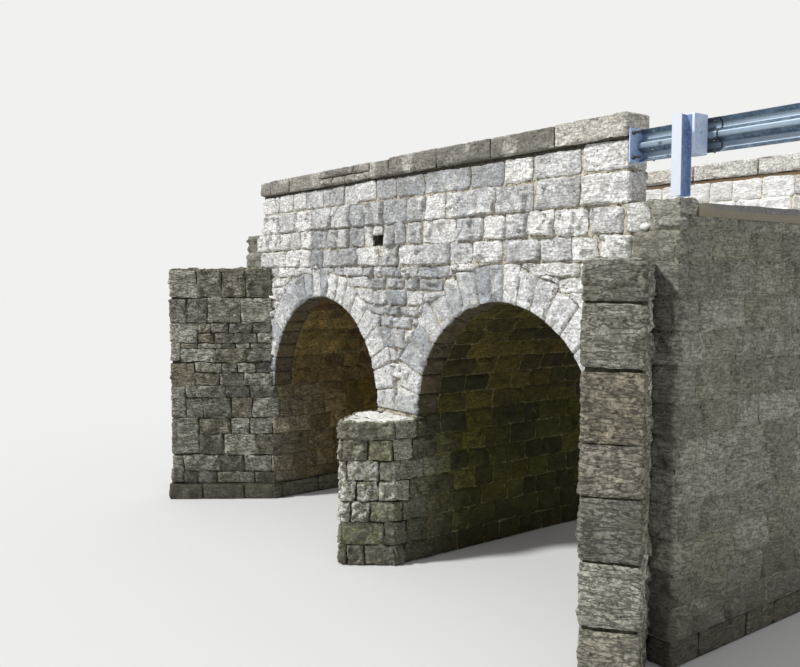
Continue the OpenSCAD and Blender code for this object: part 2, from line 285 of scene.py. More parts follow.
def mortarMaterial(name, look):
    # Lime mortar with creek sand, pointed by hand: gritty, pale where it is sound, with painted shade where
    # it is washed out deeper
    material, tree = newMaterial(name)
    spot = addNode(tree, "TexCoord").outputs["Object"]
    colour, relief = None, None
    # the hole colour is painted shade, dark as the deeper washed-out spots
    for size, detail, start, end, below, above, deep in (
            (260, 5, 0.36, 0.60, look["dark"], look["mid"], 6), (60, 5, 0.42, 0.62, None, look["light"], 4),
            (45, 4, 0.52, 0.58, None, look["hole"], -9), (14, 3, 0.55, 0.70, None, look["grain"], 3)):
        cloud = addNode(tree, "TexNoise", {"Scale": 1000 / size, "Detail": detail, "Roughness": 0.65},
                        {"Vector": spot}).outputs["Fac"]
        share = addNode(tree, "MapRange", {"From Min": start, "From Max": end,
                                           "To Max": 1.0 if below else look["share"]}, {"Value": cloud})
        settings = {"data_type": "RGBA", 7: linear(above)}
        if below:
            settings[6] = linear(below)
        colour = addNode(tree, "Mix", settings,
                         {0: share.outputs[0]} if below else {0: share.outputs[0], 6: colour}).outputs[2]
        settings = {"operation": "MULTIPLY_ADD", 1: deep / 1000, 2: 0.0}
        relief = addNode(tree, "Math", settings, {0: cloud, 2: relief} if relief else {0: cloud}).outputs[0]
    if "bed" in look:      # above this height lies the coping's bed: painted shade of the recess under the coping in the buff mortar, the bed's tan clay in the sunlit mortar
        height = addNode(tree, "SeparateXYZ", None, {0: spot}).outputs[2]
        level, paint = look["bed"]
        share = addNode(tree, "MapRange", {"From Min": level, "From Max": level + 0.004, "To Max": 0.8},
                        {"Value": height})
        colour = addNode(tree, "Mix", {"data_type": "RGBA", 7: linear(paint)},
                         {0: share.outputs[0], 6: colour}).outputs[2]
    bump = addNode(tree, "Bump", {"Strength": 1.0, "Distance": 1.0}, {"Height": relief})
    shader = addNode(tree, "BsdfPrincipled", {"Roughness": 0.95, "IOR": 1.5, "Specular IOR Level": 0.2},
                     {"Base Color": colour, "Normal": bump.outputs[0]})
    addNode(tree, "OutputMaterial", None, {"Surface": shader.outputs[0]})
    return material


paleStone = {   # sunlit face: bleached, with blue-grey blocks
    "light": "#fbfbfa", "dark": "#a8aeb4", "tint": "#9aa4b1", "tintFrom": 0.55,
    "patch": "#8e9397", "patches": 0.45, "mottle": "#6f7376", "mottles": 0.2,
    "layer": "#6c6f72", "layered": 0.35,
    "run": "#a3a19a", "runs": 0.15, "wash": "#fbfbf9", "washes": 0.7, "sway": 0.25,
    "bands": [(4.865, 4.905, 0.7, "#4c463b")],      # painted shadow under the coping's overhang
    # the pit colour is painted shade, in the pits and under the ledges
    "top": "#e2e0da", "tops": 0.0, "pit": "#3a3935", "pits": 0.85, "pitPitch": 60, "ledges": 0.35, "cut": 4,
    "mouth": 2.25, "inside": 1.45, "sootAndShade": "#8f8662", "insides": 0.0,
    "lichen": "#eeefe8", "moss": "#85885c", "rim": "#77705f", "rims": 0.6,
    "swells": 4, "grit": 2, "steps": 4, "flakes": [(150, 0.20), (60, 0.08)],
}
# painted light: a paler copy of the face stone for the far parapet's sunlit road side
farLook = dict(paleStone, light="#fdfdfb", dark="#f2f0ea", tint="#e9e9e6", patches=0.15, mottles=0.1,
               layered=0.1, pits=0.3, ledges=0.1, bands=[], rims=0.3, steps=3, flakes=[(150, 0.16)])
ringLook = dict(paleStone, light="#f7f8f9", dark="#b2b9c1", tint="#a4aebb", tintFrom=0.5, patches=0.4,
                bands=[], ledges=0.2, washes=0.6, mouth=2.037, inside=2.024, sootAndShade="#5f4f2a", insides=1.0,
                flakes=[(110, 0.18), (45, 0.08)])
copingLook = dict(paleStone, light="#b0aca4", dark="#888580", tint="#e4dfd5", tintFrom=0.8, patch="#6f6c66",
                  patches=0.5, mottle="#53504b", mottles=0.4, layer="#6a6761", run="#706c63", runs=0.3,
                  bands=[], top="#c2bbb2", tops=0.6, wash="#f2ece2", washes=0.55, rim="#5c554a", pits=0.6,
                  ledges=0.35, steps=5, flakes=[(110, 0.14), (45, 0.08)])
# painted light: a paler copy of the coping for the far, sunlit coping
brightCoping = dict(copingLook, light="#f8f5ee", dark="#e9e5dc", patch="#c4beb2", patches=0.15,
                    mottle="#a39e93", mottles=0.1, layer="#b3aea3", run="#cdc6b8", runs=0.15,
                    wash="#f8f5ee", top="#f8f5ee", pits=0.2, ledges=0.1)
wingLook = dict(paleStone, light="#d6d4c6", dark="#85827a", tint="#ab9f86", tintFrom=0.55, patch="#6c675a",
                patches=0.5, mottle="#4b483f", mottles=0.35, layer="#48453c", layered=0.5, run="#6a675a",
                runs=0.35, rim="#403d34", bands=[(0.95, 0.15, 0.6, "#5a574d")], sway=0.35, pit="#2d2b25",
                ledges=0.7, cut=7, steps=10, washes=0.0, flakes=[(140, 0.20), (60, 0.08)])
creekLook = dict(wingLook, light="#c4c5b3", dark="#686a5d", tint="#958c62", patch="#5a5848",
                 mottle="#3a382c", mottles=0.55, run="#5c5942", layered=0.4, pit="#241f12", rim="#3d3926",
                 bands=[(0.65, 0.05, 0.7, "#4d4a40")], mouth=2.25, inside=1.25, insides=1.0, sootAndShade="#9a933e",
                 ledges=0.5, cut=6, steps=8, swells=8, flakes=[(100, 0.24), (45, 0.10)])
# painted light: a paler, warmer copy of the creek masonry for the left abutment's sunlit face
sunnyCreek = dict(creekLook, light="#dcd3c0", dark="#938a76", patch="#7c725e", mottle="#57503e", inside=0.4,
                  sootAndShade="#b9a049", bands=[(1.0, 0.1, 0.55, "#5a5140")])
# the vaults are dark with damp and soot, and painted darker still as the shade under them
vaultLook = dict(creekLook, light="#8c8032", dark="#38310d", tint="#664417", tintFrom=0.55, patch="#2c2609",
                 patches=0.65, mottle="#1f1a06", run="#39320d", bands=[], insides=0.0)
# the left vault is stained in large patches, brown at its crown and paler near the springing
ochreVault = dict(vaultLook, light="#bfa35a", dark="#6f5a2c", tint="#7d4a22", patch="#4c3c1a", patches=0.75,
                  mottle="#382c12", run="#453414", runs=0.75, sway=0.8,
                  bands=[(2.75, 3.25, 0.6, "#4e3316"), (2.3, 1.6, 0.6, "#675a3f")])
cutLook = dict(paleStone, light="#dad6c6", dark="#96917f", tint="#a8a386", tintFrom=0.6, patch="#736f5f",
               patches=0.5, mottle="#514e43", mottles=0.35, layer="#524f42", run="#6c6954", runs=0.35,
               rim="#454236", moss="#92945c", washes=0.0, bands=[(0.70, 0.1, 0.8, "#57554a")], sway=0.3,
               ledges=0.45, cut=5, flakes=[(110, 0.22), (45, 0.10)])
# painted light: the cutwaters' caps are painted near-white, as sunlit tops
capLook = dict(paleStone, light="#f8f6f1", dark="#f1eee8", tint="#ece8e0", patch="#c0bbb0", patches=0.2,
               mottle="#8f8a7e", mottles=0.15, ledges=0.1, rims=0.3, washes=0.0, bands=[], steps=2,
               swells=4, flakes=[(90, 0.08)])
bankLook = dict(paleStone, light="#bab8ae", dark="#929087", tint="#a19b8a", patch="#817f75", patches=0.5,
                mottle="#67655d", mottles=0.3, layer="#6b685e", run="#77746a", runs=0.35, rim="#5a564b",
                bands=[(1.0, 0.2, 0.7, "#5a574c")], sway=0.35, top="#c9c6bc", tops=0.5, ledges=0.45, cut=5,
                washes=0.0)
footingLook = dict(wingLook, light="#8b8777", dark="#6d6a5c")
stones = {
    "face_stone": stoneMaterial("bleachedLimestone", paleStone),
    "far_stone": stoneMaterial("sunlitPaintedLimestone", farLook),
    "ring_stone": stoneMaterial("paleRingLimestone", ringLook),
    "coping_stone": stoneMaterial("weatheredCopingLimestone", copingLook),
    "bright_coping": stoneMaterial("sunlitPaintedCopingLimestone", brightCoping),
    "creek_masonry": stoneMaterial("dampCreekLimestone", creekLook),
    "sunny_creek": stoneMaterial("sunlitPaintedCreekLimestone", sunnyCreek),
    "bank_masonry": stoneMaterial("weatheredBankLimestone", bankLook),
    "vault_stone": stoneMaterial("shadeDarkVaultLimestone", vaultLook),
    "ochre_vault": stoneMaterial("ochreVaultLimestone", ochreVault),
    "cutwater_stone": stoneMaterial("lichenedCutwaterLimestone", cutLook),
    "cutwater_cap": stoneMaterial("sunlitPaintedCapLimestone", capLook),
    "wing_stone": stoneMaterial("shadedWingLimestone", wingLook),
    "footing_stone": stoneMaterial("wetFootingLimestone", footingLook),
}
mortars = {
    # the buff mortar's bed colour is painted shade, dark as under the coping and between its slabs
    "buff": mortarMaterial("buffLimeMortar", {
        "dark": "#8a8475", "mid": "#b0a998", "light": "#c8c2b4", "hole": "#4d483c", "grain": "#8a8372",
        "share": 0.85, "bed": (4.985, "#39342a")}),
    "sunlit": mortarMaterial("sunlitLimeMortar", {
        "dark": "#cfc6b7", "mid": "#e2dbce", "light": "#efe9df", "hole": "#a89f90", "grain": "#c6bcaa",
        "share": 0.6, "bed": (4.985, "#d9b48c")}),
    "bank": mortarMaterial("bankLimeMortar", {
        "dark": "#66625a", "mid": "#858075", "light": "#989387", "hole": "#3b3830", "grain": "#68645a",
        "share": 0.8}),
    "damp": mortarMaterial("dampLimeMortar", {
        "dark": "#5a5336", "mid": "#7f7650", "light": "#968c64", "hole": "#3a341c", "grain": "#5a5336",
        "share": 0.7}),
    # open joints and pockets: painted dark as the shade inside them
    "open": mortarMaterial("shadeDarkOpenMortar", {
        "dark": "#2a2821", "mid": "#3f3b30", "light": "#575242", "hole": "#1d1b16", "grain": "#2d2a22",
        "share": 0.7}),
}
print("stone and mortar materials are made")

# How walls are set out: patches that turn u, v and w into places, and courses of stones on them


def pathPatch(points, radii, flipX=1, flipY=1):
    # a wall's face in plan, with the outside to the right of the way it runs: u along it, v up, w out
    spots = [Vector(p) for p in points]
    ways = [(b - a).normalized() for a, b in zip(spots, spots[1:])]
    marks = [0.0]
    for a, b in zip(spots, spots[1:]):
        marks.append(marks[-1] + (b - a).length)
    folds = []
    for i in range(1, len(spots) - 1):
        turn = math.atan2(ways[i - 1].cross(ways[i]), ways[i - 1].dot(ways[i]))
        radius = radii[i - 1] if isinstance(radii, (list, tuple)) else radii
        folds.append((marks[i], i, turn, radius, radius * math.tan(abs(turn) / 2)))

    def place(u, v, w):
        for mark, i, turn, radius, reach in folds:
            if abs(u - mark) < reach:
                before = ways[i - 1]
                left = Vector((-before.y, before.x))
                side = 1 if turn > 0 else -1
                centre = spots[i] - before * reach + left * radius * side
                angle = turn * (u - mark + reach) / (2 * reach)
                out = Vector((-left.x * math.cos(angle) + left.y * math.sin(angle),
                              -left.x * math.sin(angle) - left.y * math.cos(angle)))
                spot = centre + out * (radius * side + w)
                break
        else:
            i = 0
            while i < len(ways) - 1 and u > marks[i + 1]:
                i += 1
            way = ways[i]
            spot = spots[i] + way * (u - marks[i]) + Vector((way.y, -way.x)) * w
        return Vector((flipX * spot.x, flipY * spot.y, v))

    return place, marks, [(f[0], f[4]) for f in folds]


def vaultPatch(side):
    # the underside of a vault: u across the bridge, v round it from the outer springing, w into the opening
    def place(u, v, w):
        angle, r = v / bridge["archR"], bridge["archR"] - w
        return Vector((side * (bridge["archX"] + r * math.cos(angle)), u, spring + r * math.sin(angle)))
    return place


def layCourse(dice, start, end, lengths, below=(), known=()):
    # joints of one course; known ones stay, and none stands straight over a joint of the course below
    joints = [start]
    goals = [k for k in known if start + 0.1 < k < end - 0.1] + [end]
    for goal in goals:
        guessed = not known or goal == end or len(joints) == 1
        while guessed and goal - joints[-1] > lengths[1] * 1.15:
            step = dice.uniform(*lengths)
            if goal - joints[-1] - step < lengths[0] * 0.8:
                step = (goal - joints[-1]) / 2
            if any(abs(joints[-1] + step - b) < 0.05 for b in below):
                step += 0.08 if step < lengths[1] * 0.8 else -0.08
            joints.append(joints[-1] + step)
        joints.append(goal)
    return joints


def cellsOf(dice, joints, low, high, look):
    # upright joints are wider and uneven, beds are tight
    for left, right in zip(joints, joints[1:]):
        room = [look["joint"] * dice.uniform(0.15, 1.0) for _ in range(2)]
        room += [look["bed"] * dice.uniform(0.1, 1.0) for _ in range(2)]
        yield left + room[0], right - room[1], low + room[2], high - room[3]


# How stones are dressed
carrier = bpy.data.meshes.new("carrier")
toneLayer, edgeLayer = "stoneTone", "stoneEdge"
wayX, wayY, wayZ = Vector((1, 0, 0)), Vector((0, 1, 0)), Vector((0, 0, 1))
leastStone = (0.03, 0.025)      # nothing shorter or lower than this is laid
sunk = {    # how far the mortar lies behind the CAD solid's faces
    "walls": 0.024, "rings": 0.014, "vaults": 0.012, "pier": 0.011, "cutwaters": 0.026,
    "cutwaterTops": 0.012, "abutments": 0.014, "wings": 0.026, "wingTops": 0.015, "footings": 0.018,
}
# cells of the washed-out mortar, and how deep it goes
washed = {"near": 0.08, "far": 0.16, "deep": 0.012}


def vertsOf(made):
    return [part for part in made if isinstance(part, bmesh.types.BMVert)]


def edgesOf(made):
    return [part for part in made if isinstance(part, bmesh.types.BMEdge)]


def addBox(body, size, middle):
    verts = bmesh.ops.create_cube(body, size=1.0)["verts"]
    bmesh.ops.scale(body, vec=size, verts=verts)
    bmesh.ops.translate(body, vec=middle, verts=verts)


def bevelEdges(body, edges, offset, segments):
    return bmesh.ops.bevel(body, geom=edges, offset=offset, segments=segments, profile=0.5, affect="EDGES",
                           material=-1)


def addShape(body, shape):
    # one body's mesh joins another's
    shape.to_mesh(carrier)
    shape.free()
    body.from_mesh(carrier)


def brokenRock(here, look):
    # planes left where the rock broke, stepped against each other, then swells and layers
    out = 0.0
    for size, lean, step in look["breaks"]:
        near = noise.voronoi(here / size)[1][0]
        turned = noise.cell_vector(near * 37.0)
        away = here / size - near
        out += 2 * lean * size * ((turned.x - 0.5) * away.x + (turned.y - 0.5) * away.y
                                  + (turned.z - 0.5) * away.z)
        out += step * (turned.x + turned.z - 1)
    out += look["wave"] * noise.fractal(here * 5.5, 1.0, 2.0, 3)
    if look["strata"]:
        out += look["strata"] * noise.fractal(Vector((here.x * 3, here.y * 24, here.z * 3)), 0.8, 2.0, 2)
    return out


def turnOutwards(body):
    # moving vertices leaves the stored normals out of date, and the faces are turned by them
    body.normal_update()
    bmesh.ops.recalc_face_normals(body, faces=body.faces[:])


def joinStone(piece, stone, tone, edges, material=1):
    tones = stone.verts.layers.float_vector.new(toneLayer)
    rims = stone.verts.layers.float.new(edgeLayer)
    for vert in stone.verts:
        vert.co.z = max(vert.co.z, 0.0)      # nothing goes below the model's own box
        vert[tones] = tone
        vert[rims] = edges.get(vert, 1.0)
    for face in stone.faces:
        face.smooth = True
        face.material_index = material
    turnOutwards(stone)
    if stone.calc_volume(signed=True) < 0:
        bmesh.ops.reverse_faces(stone, faces=stone.faces[:])
    addShape(piece, stone)


def dressFace(piece, place, cell, look, dice, tone, cuts=(), folds=(), spall=None, fit=None):
    # a stone that shows one face of the wall, or wraps a corner: a grid in the wall's own u and v
    left, right, low, high = cell
    wide, tall = right - left, high - low
    if wide < leastStone[0] or tall < leastStone[1]:
        return
    stone = bmesh.new()
    bmesh.ops.create_grid(stone, x_segments=max(2, round(wide / look["mesh"])),
                          y_segments=max(2, round(tall / look["mesh"])), size=0.5)
    bmesh.ops.scale(stone, vec=(wide, tall, 1), verts=stone.verts[:])
    bmesh.ops.translate(stone, vec=((left + right) / 2, (low + high) / 2, 0), verts=stone.verts[:])
    near = [f for f in folds if left - f[1] < f[0] < right + f[1]]
    slices = [((mark + shift, 0, 0), (1, 0, 0), 0.002, False)
              for mark, reach in near for shift in (-reach, 0, reach) if left < mark + shift < right]
    slices += [((edge.x, edge.y, 0), (out.x, out.y, 0), 0.0005, True) for edge, out in cuts]
    for spot, out, dist, clears in slices:
        bmesh.ops.bisect_plane(stone, geom=stone.verts[:] + stone.edges[:] + stone.faces[:],
                               dist=dist, plane_co=spot, plane_no=out, clear_outer=clears)
    if len(stone.faces) < 3:
        stone.free()
        return
    swell = look["swell"] * dice.uniform(0.2, 1.3)
    own = Vector((dice.uniform(-90, 90), dice.uniform(-90, 90), dice.uniform(-90, 90)))
    skew = (dice.uniform(-1, 1) * look["skew"], dice.uniform(-1, 1) * look["skew"] * 0.5)
    lean = (dice.uniform(-0.6, 0.6) * look["lean"], -dice.uniform(0.0, 1.0) * look["lean"])
    midU, midV = (left + right) / 2, (low + high) / 2
    corner = min(look["corner"], tall * 0.3, wide * 0.3) * dice.uniform(0.5, 1.3)
    edges = {}
    for vert in stone.verts:
        u, v = vert.co.x, vert.co.y
        toU, toV = min(u - left, right - u), min(v - low, high - v)
        if toU < corner and toV < corner:      # rounded corner
            offU, offV = corner - toU, corner - toV
            far = math.hypot(offU, offV)
            if far > corner:
                pull = 1 - corner / far
                u += offU * pull * (1 if u < midU else -1)
                v += offV * pull * (1 if v < midV else -1)
        inside = min(toU, high - vert.co.y, (vert.co.y - low) * 2)      # sharper along the lower arris
        for edge, out in cuts:
            inside = min(inside, (edge.x - vert.co.x) * out.x + (edge.y - vert.co.y) * out.y)
        inside = max(inside, 0.0)
        if fit:
            u, v = fit(u, v)
        here = Vector((u, v, 0)) + own
        wander = look["wander"]
        u += wander * (noise.noise(here * 7) + 0.6 * noise.noise(here * 19)) + skew[0] * (v - midV)
        v += wander * (noise.noise(here * 7 + Vector((7, 3, 1)))
                       + 0.6 * noise.noise(here * 19 + Vector((3, 9, 4))))
        v += skew[1] * (u - midU) + look["sag"] * noise.noise(Vector((midU * 0.4 + u * 0.9, v * 1.5, 3.3)))
        toFold = min([abs(vert.co.x - mark) + reach * 0.3 for mark, reach in near] + [9.0])
        rise = min(1.0, min(inside, toFold) / look["roll"])
        rise = rise * (2 - rise)
        out = swell + lean[0] * (vert.co.x - midU) + lean[1] * (vert.co.y - midV) + brokenRock(here, look)
        out = min(look["most"], max(out, look["least"] + 0.3 * (out - look["least"])))
        out = -look["arris"] + (look["arris"] + out) * rise
        if spall:      # a slanting break, which stays in front of the mortar
            turn, fall, share = spall
            along = (vert.co.x - midU) * math.cos(turn) / wide + (vert.co.y - midV) * math.sin(turn) / tall
            out = max(-0.012, out - max(0.0, along - share) * fall * wide)
        vert.co = Vector((u, v, out))
        # how near the edge: there the stone gets dirt and painted shade
        edges[vert] = 1.0 - min(1.0, inside / look["dirtAndShade"])
    rim = [e for e in stone.edges if e.is_boundary]
    made = bmesh.ops.extrude_edge_only(stone, edges=rim)["geom"]
    for vert in vertsOf(made):
        vert.co.z = -look["depth"]
    bmesh.ops.contextual_create(stone, geom=[e for e in edgesOf(made) if e.is_boundary])
    for vert in stone.verts:
        vert.co = place(*vert.co)
    joinStone(piece, stone, tone, edges, look.get("stone", 1))


def carveBlock(piece, low, high, place, look, dice, tone, lidded=(), shear=0.0):
    # a whole block: a cube cut into cells, rounded at its arrises, then roughened along its own normals
    stone = bmesh.new()
    bmesh.ops.create_cube(stone, size=1.0)
    size = [h - l for l, h in zip(low, high)]
    for axis in range(3):
        cuts = max(1, round(size[axis] / look["cells"][axis])) - 1
        if cuts > 0:
            along = [e for e in stone.edges if abs((e.verts[0].co - e.verts[1].co)[axis]) > 0.4]
            bmesh.ops.subdivide_edges(stone, edges=along, cuts=cuts, use_grid_fill=True)
    middle = [(l + h) / 2 for l, h in zip(low, high)]
    own = Vector((dice.uniform(-90, 90), dice.uniform(-90, 90), dice.uniform(-90, 90)))
    swells = {(axis, side): look["swell"] * dice.uniform(0.0, 1.2) for axis in range(3) for side in (-1, 1)}
    edges = {}
    for vert in stone.verts:
        spot = Vector([middle[a] + vert.co[a] * size[a] for a in range(3)])
        toSide = sorted(min(spot[a] - low[a], high[a] - spot[a]) for a in range(3))
        inset = Vector([max(low[a] + look["round"], min(high[a] - look["round"], spot[a]))
                        for a in range(3)])
        normal = spot - inset
        if normal.length > 1e-6:
            normal.normalize()
        push = brokenRock(spot + own, look)
        rise = min(1.0, max(0.0, toSide[1]) / look["roll"])
        for axis in range(3):
            push += normal[axis] ** 2 * swells[(axis, 1 if normal[axis] > 0 else -1)]
        push = -look["arris"] + (look["arris"] + max(push, look["least"])) * rise * (2 - rise)
        spot = inset + normal * (look["round"] + push)
        spot[1] += shear * (spot[0] - middle[0]) * max(0.0, (spot[1] - low[1]) / size[1])
        for axis, side in lidded:     # faces that may not stand out of the model's own box
            spot[axis] = min(spot[axis], high[axis]) if side > 0 else max(spot[axis], low[axis])
        vert.co = place(*spot)
        # how near the edge: there the stone gets dirt and painted shade
        edges[vert] = 1.0 - min(1.0, toSide[1] / look["dirtAndShade"])
    joinStone(piece, stone, tone, edges)


def openPiece(node, sunk):
    # the mortar body of a piece: its CAD solid, with the faces that show set back from the stones
    body = bmesh.new()
    body.from_mesh(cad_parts[node].data)
    bmesh.ops.remove_doubles(body, verts=body.verts[:], dist=0.0001)
    body.normal_update()
    moves = []
    for vert in body.verts:
        depths = [-sunk(face.calc_center_median(), face.normal) for face in vert.link_faces]
        if any(depths):
            rows = np.array([face.normal[:] for face in vert.link_faces])
            moves.append((vert, Vector(np.linalg.lstsq(rows, np.array(depths), rcond=0.02)[0])))
    for vert, move in moves:
        vert.co += move
    body.verts.layers.float_vector.new(toneLayer)
    body.verts.layers.float.new(edgeLayer)
    return body


def opens(*directions, depth):
    # faces that look one of these ways are set back by depth
    ways = [Vector(d).normalized() for d in directions]
    return lambda centre, normal: depth if any(normal.dot(way) > 0.9 for way in ways) else 0.0


def mortarFaces(body, way):
    # the mortar's own faces that look one way: stones have other materials, and stay whole
    return [f for f in body.faces if f.material_index == 0 and f.normal.dot(way) > 0.95]


def sliceFace(body, way, runs):
    # cuts the mortar's faces that look one way along planes, given as pairs of a direction and its distances
    body.normal_update()
    chosen = mortarFaces(body, way)
    geom = set(chosen)
    for face in chosen:
        geom.update(face.verts)
        geom.update(face.edges)
    for run, steps in runs:
        for step in steps:
            made = bmesh.ops.bisect_plane(body, geom=list(geom), dist=0.0002, plane_co=run * step,
                                          plane_no=run)
            geom = set(made["geom"])
    body.normal_update()
    return [f for f in geom if isinstance(f, bmesh.types.BMFace)]


def hollow(body, way, span, rise, deep):
    # where a stone is missing or broken away, the mortar behind it is hollow too
    faces = sliceFace(body, way, [(wayX, span), (wayZ, rise)])
    inner = [f for f in faces if span[0] < f.calc_center_median().x < span[1]
             and rise[0] < f.calc_center_median().z < rise[1]]
    known = set(body.faces)
    made = bmesh.ops.extrude_face_region(body, geom=inner)["geom"]
    bmesh.ops.translate(body, vec=-way * deep, verts=vertsOf(made))
    for face in set(body.faces) - known:
        face.material_index = 2      # washed out, and painted dark as the shade inside
    bmesh.ops.delete(body, geom=inner, context="FACES")      # extruding keeps them, as a lid


def washOut(body, way, pitch):
    # mortar washed out unevenly: its face is cut into cells, whose corners sink and swell
    reach = [(v.co.x, v.co.z) for f in mortarFaces(body, way) for v in f.verts]
    runs = []
    for index, run in enumerate((wayX, wayZ)):
        start, end = min(r[index] for r in reach), max(r[index] for r in reach)
        runs.append((run, [start + pitch * i for i in range(1, int((end - start) / pitch) + 1)]))
    for vert in {v for f in sliceFace(body, way, runs) for v in f.verts}:
        if all(f.normal.dot(way) > 0.95 for f in vert.link_faces):
            vert.co += way * washed["deep"] * noise.fractal(vert.co * 6, 0.9, 2.0, 3)


def closePiece(node, name, body, materials, turned=42):
    mesh = bpy.data.meshes.new(name)
    body.to_mesh(mesh)
    count = sum(len(f.verts) - 2 for f in body.faces)
    body.free()
    mesh.set_sharp_from_angle(angle=math.radians(turned))
    for material in materials:
        mesh.materials.append(material)
    piece = bpy.data.objects.new(name, mesh)
    scene.collection.objects.link(piece)
    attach(piece, "root")
    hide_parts(node)
    print(f"  {name}: {count} triangles")


def masonry(node, ending, body, slotName, mortar, *finishes):
    # the mortar is the piece's first material; its stones, and other mortars, take the next ones
    made = {**stones, **mortars}
    used = [made[key] for key in (mortar, *(finishes or (slotName,)))]
    closePiece(node, node + ending, body, used)


def repoint(body, index, chosen):
    # the mortar of some faces gets another finish
    for face in body.faces:
        if chosen(face.calc_center_median(), face.normal):
            face.material_index = index


def toneOf(dice, growth=0.0):
    # lightness, tint, and what grows on it: above 0.5 lichen, below -0.5 moss
    return Vector((dice.random(), dice.random(), growth))


def sunlitPaintTone(dice, x):
    # painted sunlight: the walls' stones are painted paler towards their ends, where the sun falls
    sunlitShare = min(1.0, max(0.0, (x - 0.8) / 2.2, (-1.9 - x) / 0.8))
    return Vector((min(1.0, 0.08 + dice.random() * 0.88 + 0.55 * sunlitShare),
                   dice.random() * (1 - 0.5 * sunlitShare), 0.0))


rockFaced = {   # split face of a squared rubble block
    "mesh": 0.015, "depth": 0.04, "joint": 0.028, "bed": 0.017, "arris": 0.013, "roll": 0.030,
    "swell": 0.024, "lean": 0.12, "breaks": [(0.19, 0.30, 0.012), (0.08, 0.12, 0.003)], "wave": 0.006,
    "strata": 0.0, "least": -0.002, "most": 0.05,
    "wander": 0.017, "sag": 0.016, "corner": 0.046, "skew": 0.09, "dirtAndShade": 0.016,
}
farFaced = dict(rockFaced, mesh=0.026)

# Rings: joints in degrees from the outer springing, those of the near face read from the photograph
ringJoints = {
    (-1, 1): [0, 11, 21, 31, 41, 51, 61, 70.5, 79, 87, 94, 102, 112, 120.5, 131, 140.5, 150, 159.5, 169.5,
              180],
    (-1, -1): [0, 9, 18, 27.5, 37, 46, 56, 66, 75.5, 83, 90.5, 98, 106, 114, 122.5, 132.5, 143, 153.5,
               160.5, 170.5, 180],
}
voussoir = {
    "joint": 0.018, "cells": (0.022, 0.024, 0.045), "round": 0.008, "roll": 0.022, "arris": 0.006,
    "swell": 0.012, "breaks": [(0.16, 0.24, 0.010), (0.07, 0.20, 0.004)], "wave": 0.005, "strata": 0.0,
    "least": -0.010, "dirtAndShade": 0.014,
    "ragged": 0.12,       # how far the stones' outer ends differ
}


def ringStones(side, hand):
    # each ring stone's first and last angle, outer radius and the slant of its outer end
    dice = random.Random(f"ring stones {side} {hand}")
    angles = ringJoints.get((side, hand))
    if not angles:
        shares = [dice.uniform(0.8, 1.2) for _ in range(19)]
        angles = [180 * sum(shares[:i]) / sum(shares) for i in range(20)]
    made = []
    for a, b in zip(angles, angles[1:]):
        outer, shear = bridge["ringR"] + 0.03 - dice.uniform(0, voussoir["ragged"]), dice.uniform(-0.4, 0.4)
        if b > 165:      # over the pier the two rings stand back to back
            outer, shear = bridge["ringR"] - 0.014, 0.0
        made.append((math.radians(a), math.radians(b), outer, shear))
    return made


def archCut(cell, side, gap):
    # where a wall stone meets the ring stones: straight cuts, and how its edge then follows their ragged ends
    left, right, low, high = cell
    for hand in (-1, 1):
        centre = Vector((hand * bridge["archX"], spring))
        ring = ringStones(side, hand)
        mean = (bridge["archR"] + bridge["ringR"]) / 2

        def reachOf(p):
            # the ring's outer radius towards p
            angle = max(0.0, math.atan2(p.y, hand * p.x))
            for start, end, outer, shear in ring:
                if angle < end:
                    break
            return outer + shear * (angle - (start + end) / 2) * mean + gap

        spots = [Vector((left + (right - left) * i / 8, low + (high - low) * j / 8)) - centre
                 for i in range(9) for j in range(9)]
        clear = [p for p in spots if p.length > reachOf(p)]
        if len(clear) == len(spots):
            continue
        if len(clear) < 9:
            return None
        out = (sum(clear, Vector((0, 0))) / len(clear)).normalized()
        deep = min(reachOf(p) for p in spots) + 0.002

        def fit(u, v):
            p = Vector((u, v)) - centre
            base, want = deep / max(0.5, out.dot(p.normalized())), reachOf(p)
            top = max(base, want) + 0.10
            if p.length > top:
                return u, v
            length = want + (p.length - base) * (top - want) / (top - base)
            return tuple(centre + p.normalized() * length)

        return [(centre + out * deep, -out)], fit
    return [], None


def soffit(depth, flatY=None):
    # the curved underside, and the face of a ring if flatY is given
    def sunk(centre, normal):
        if flatY and normal.y * flatY > 0.9:
            return depth
        for x in (-bridge["archX"], bridge["archX"]):
            away = Vector((centre.x - x, 0, centre.z - spring))
            if abs(away.length - bridge["archR"]) < 0.03 and away.normalized().dot(normal) < -0.9:
                return depth
        return 0.0
    return sunk


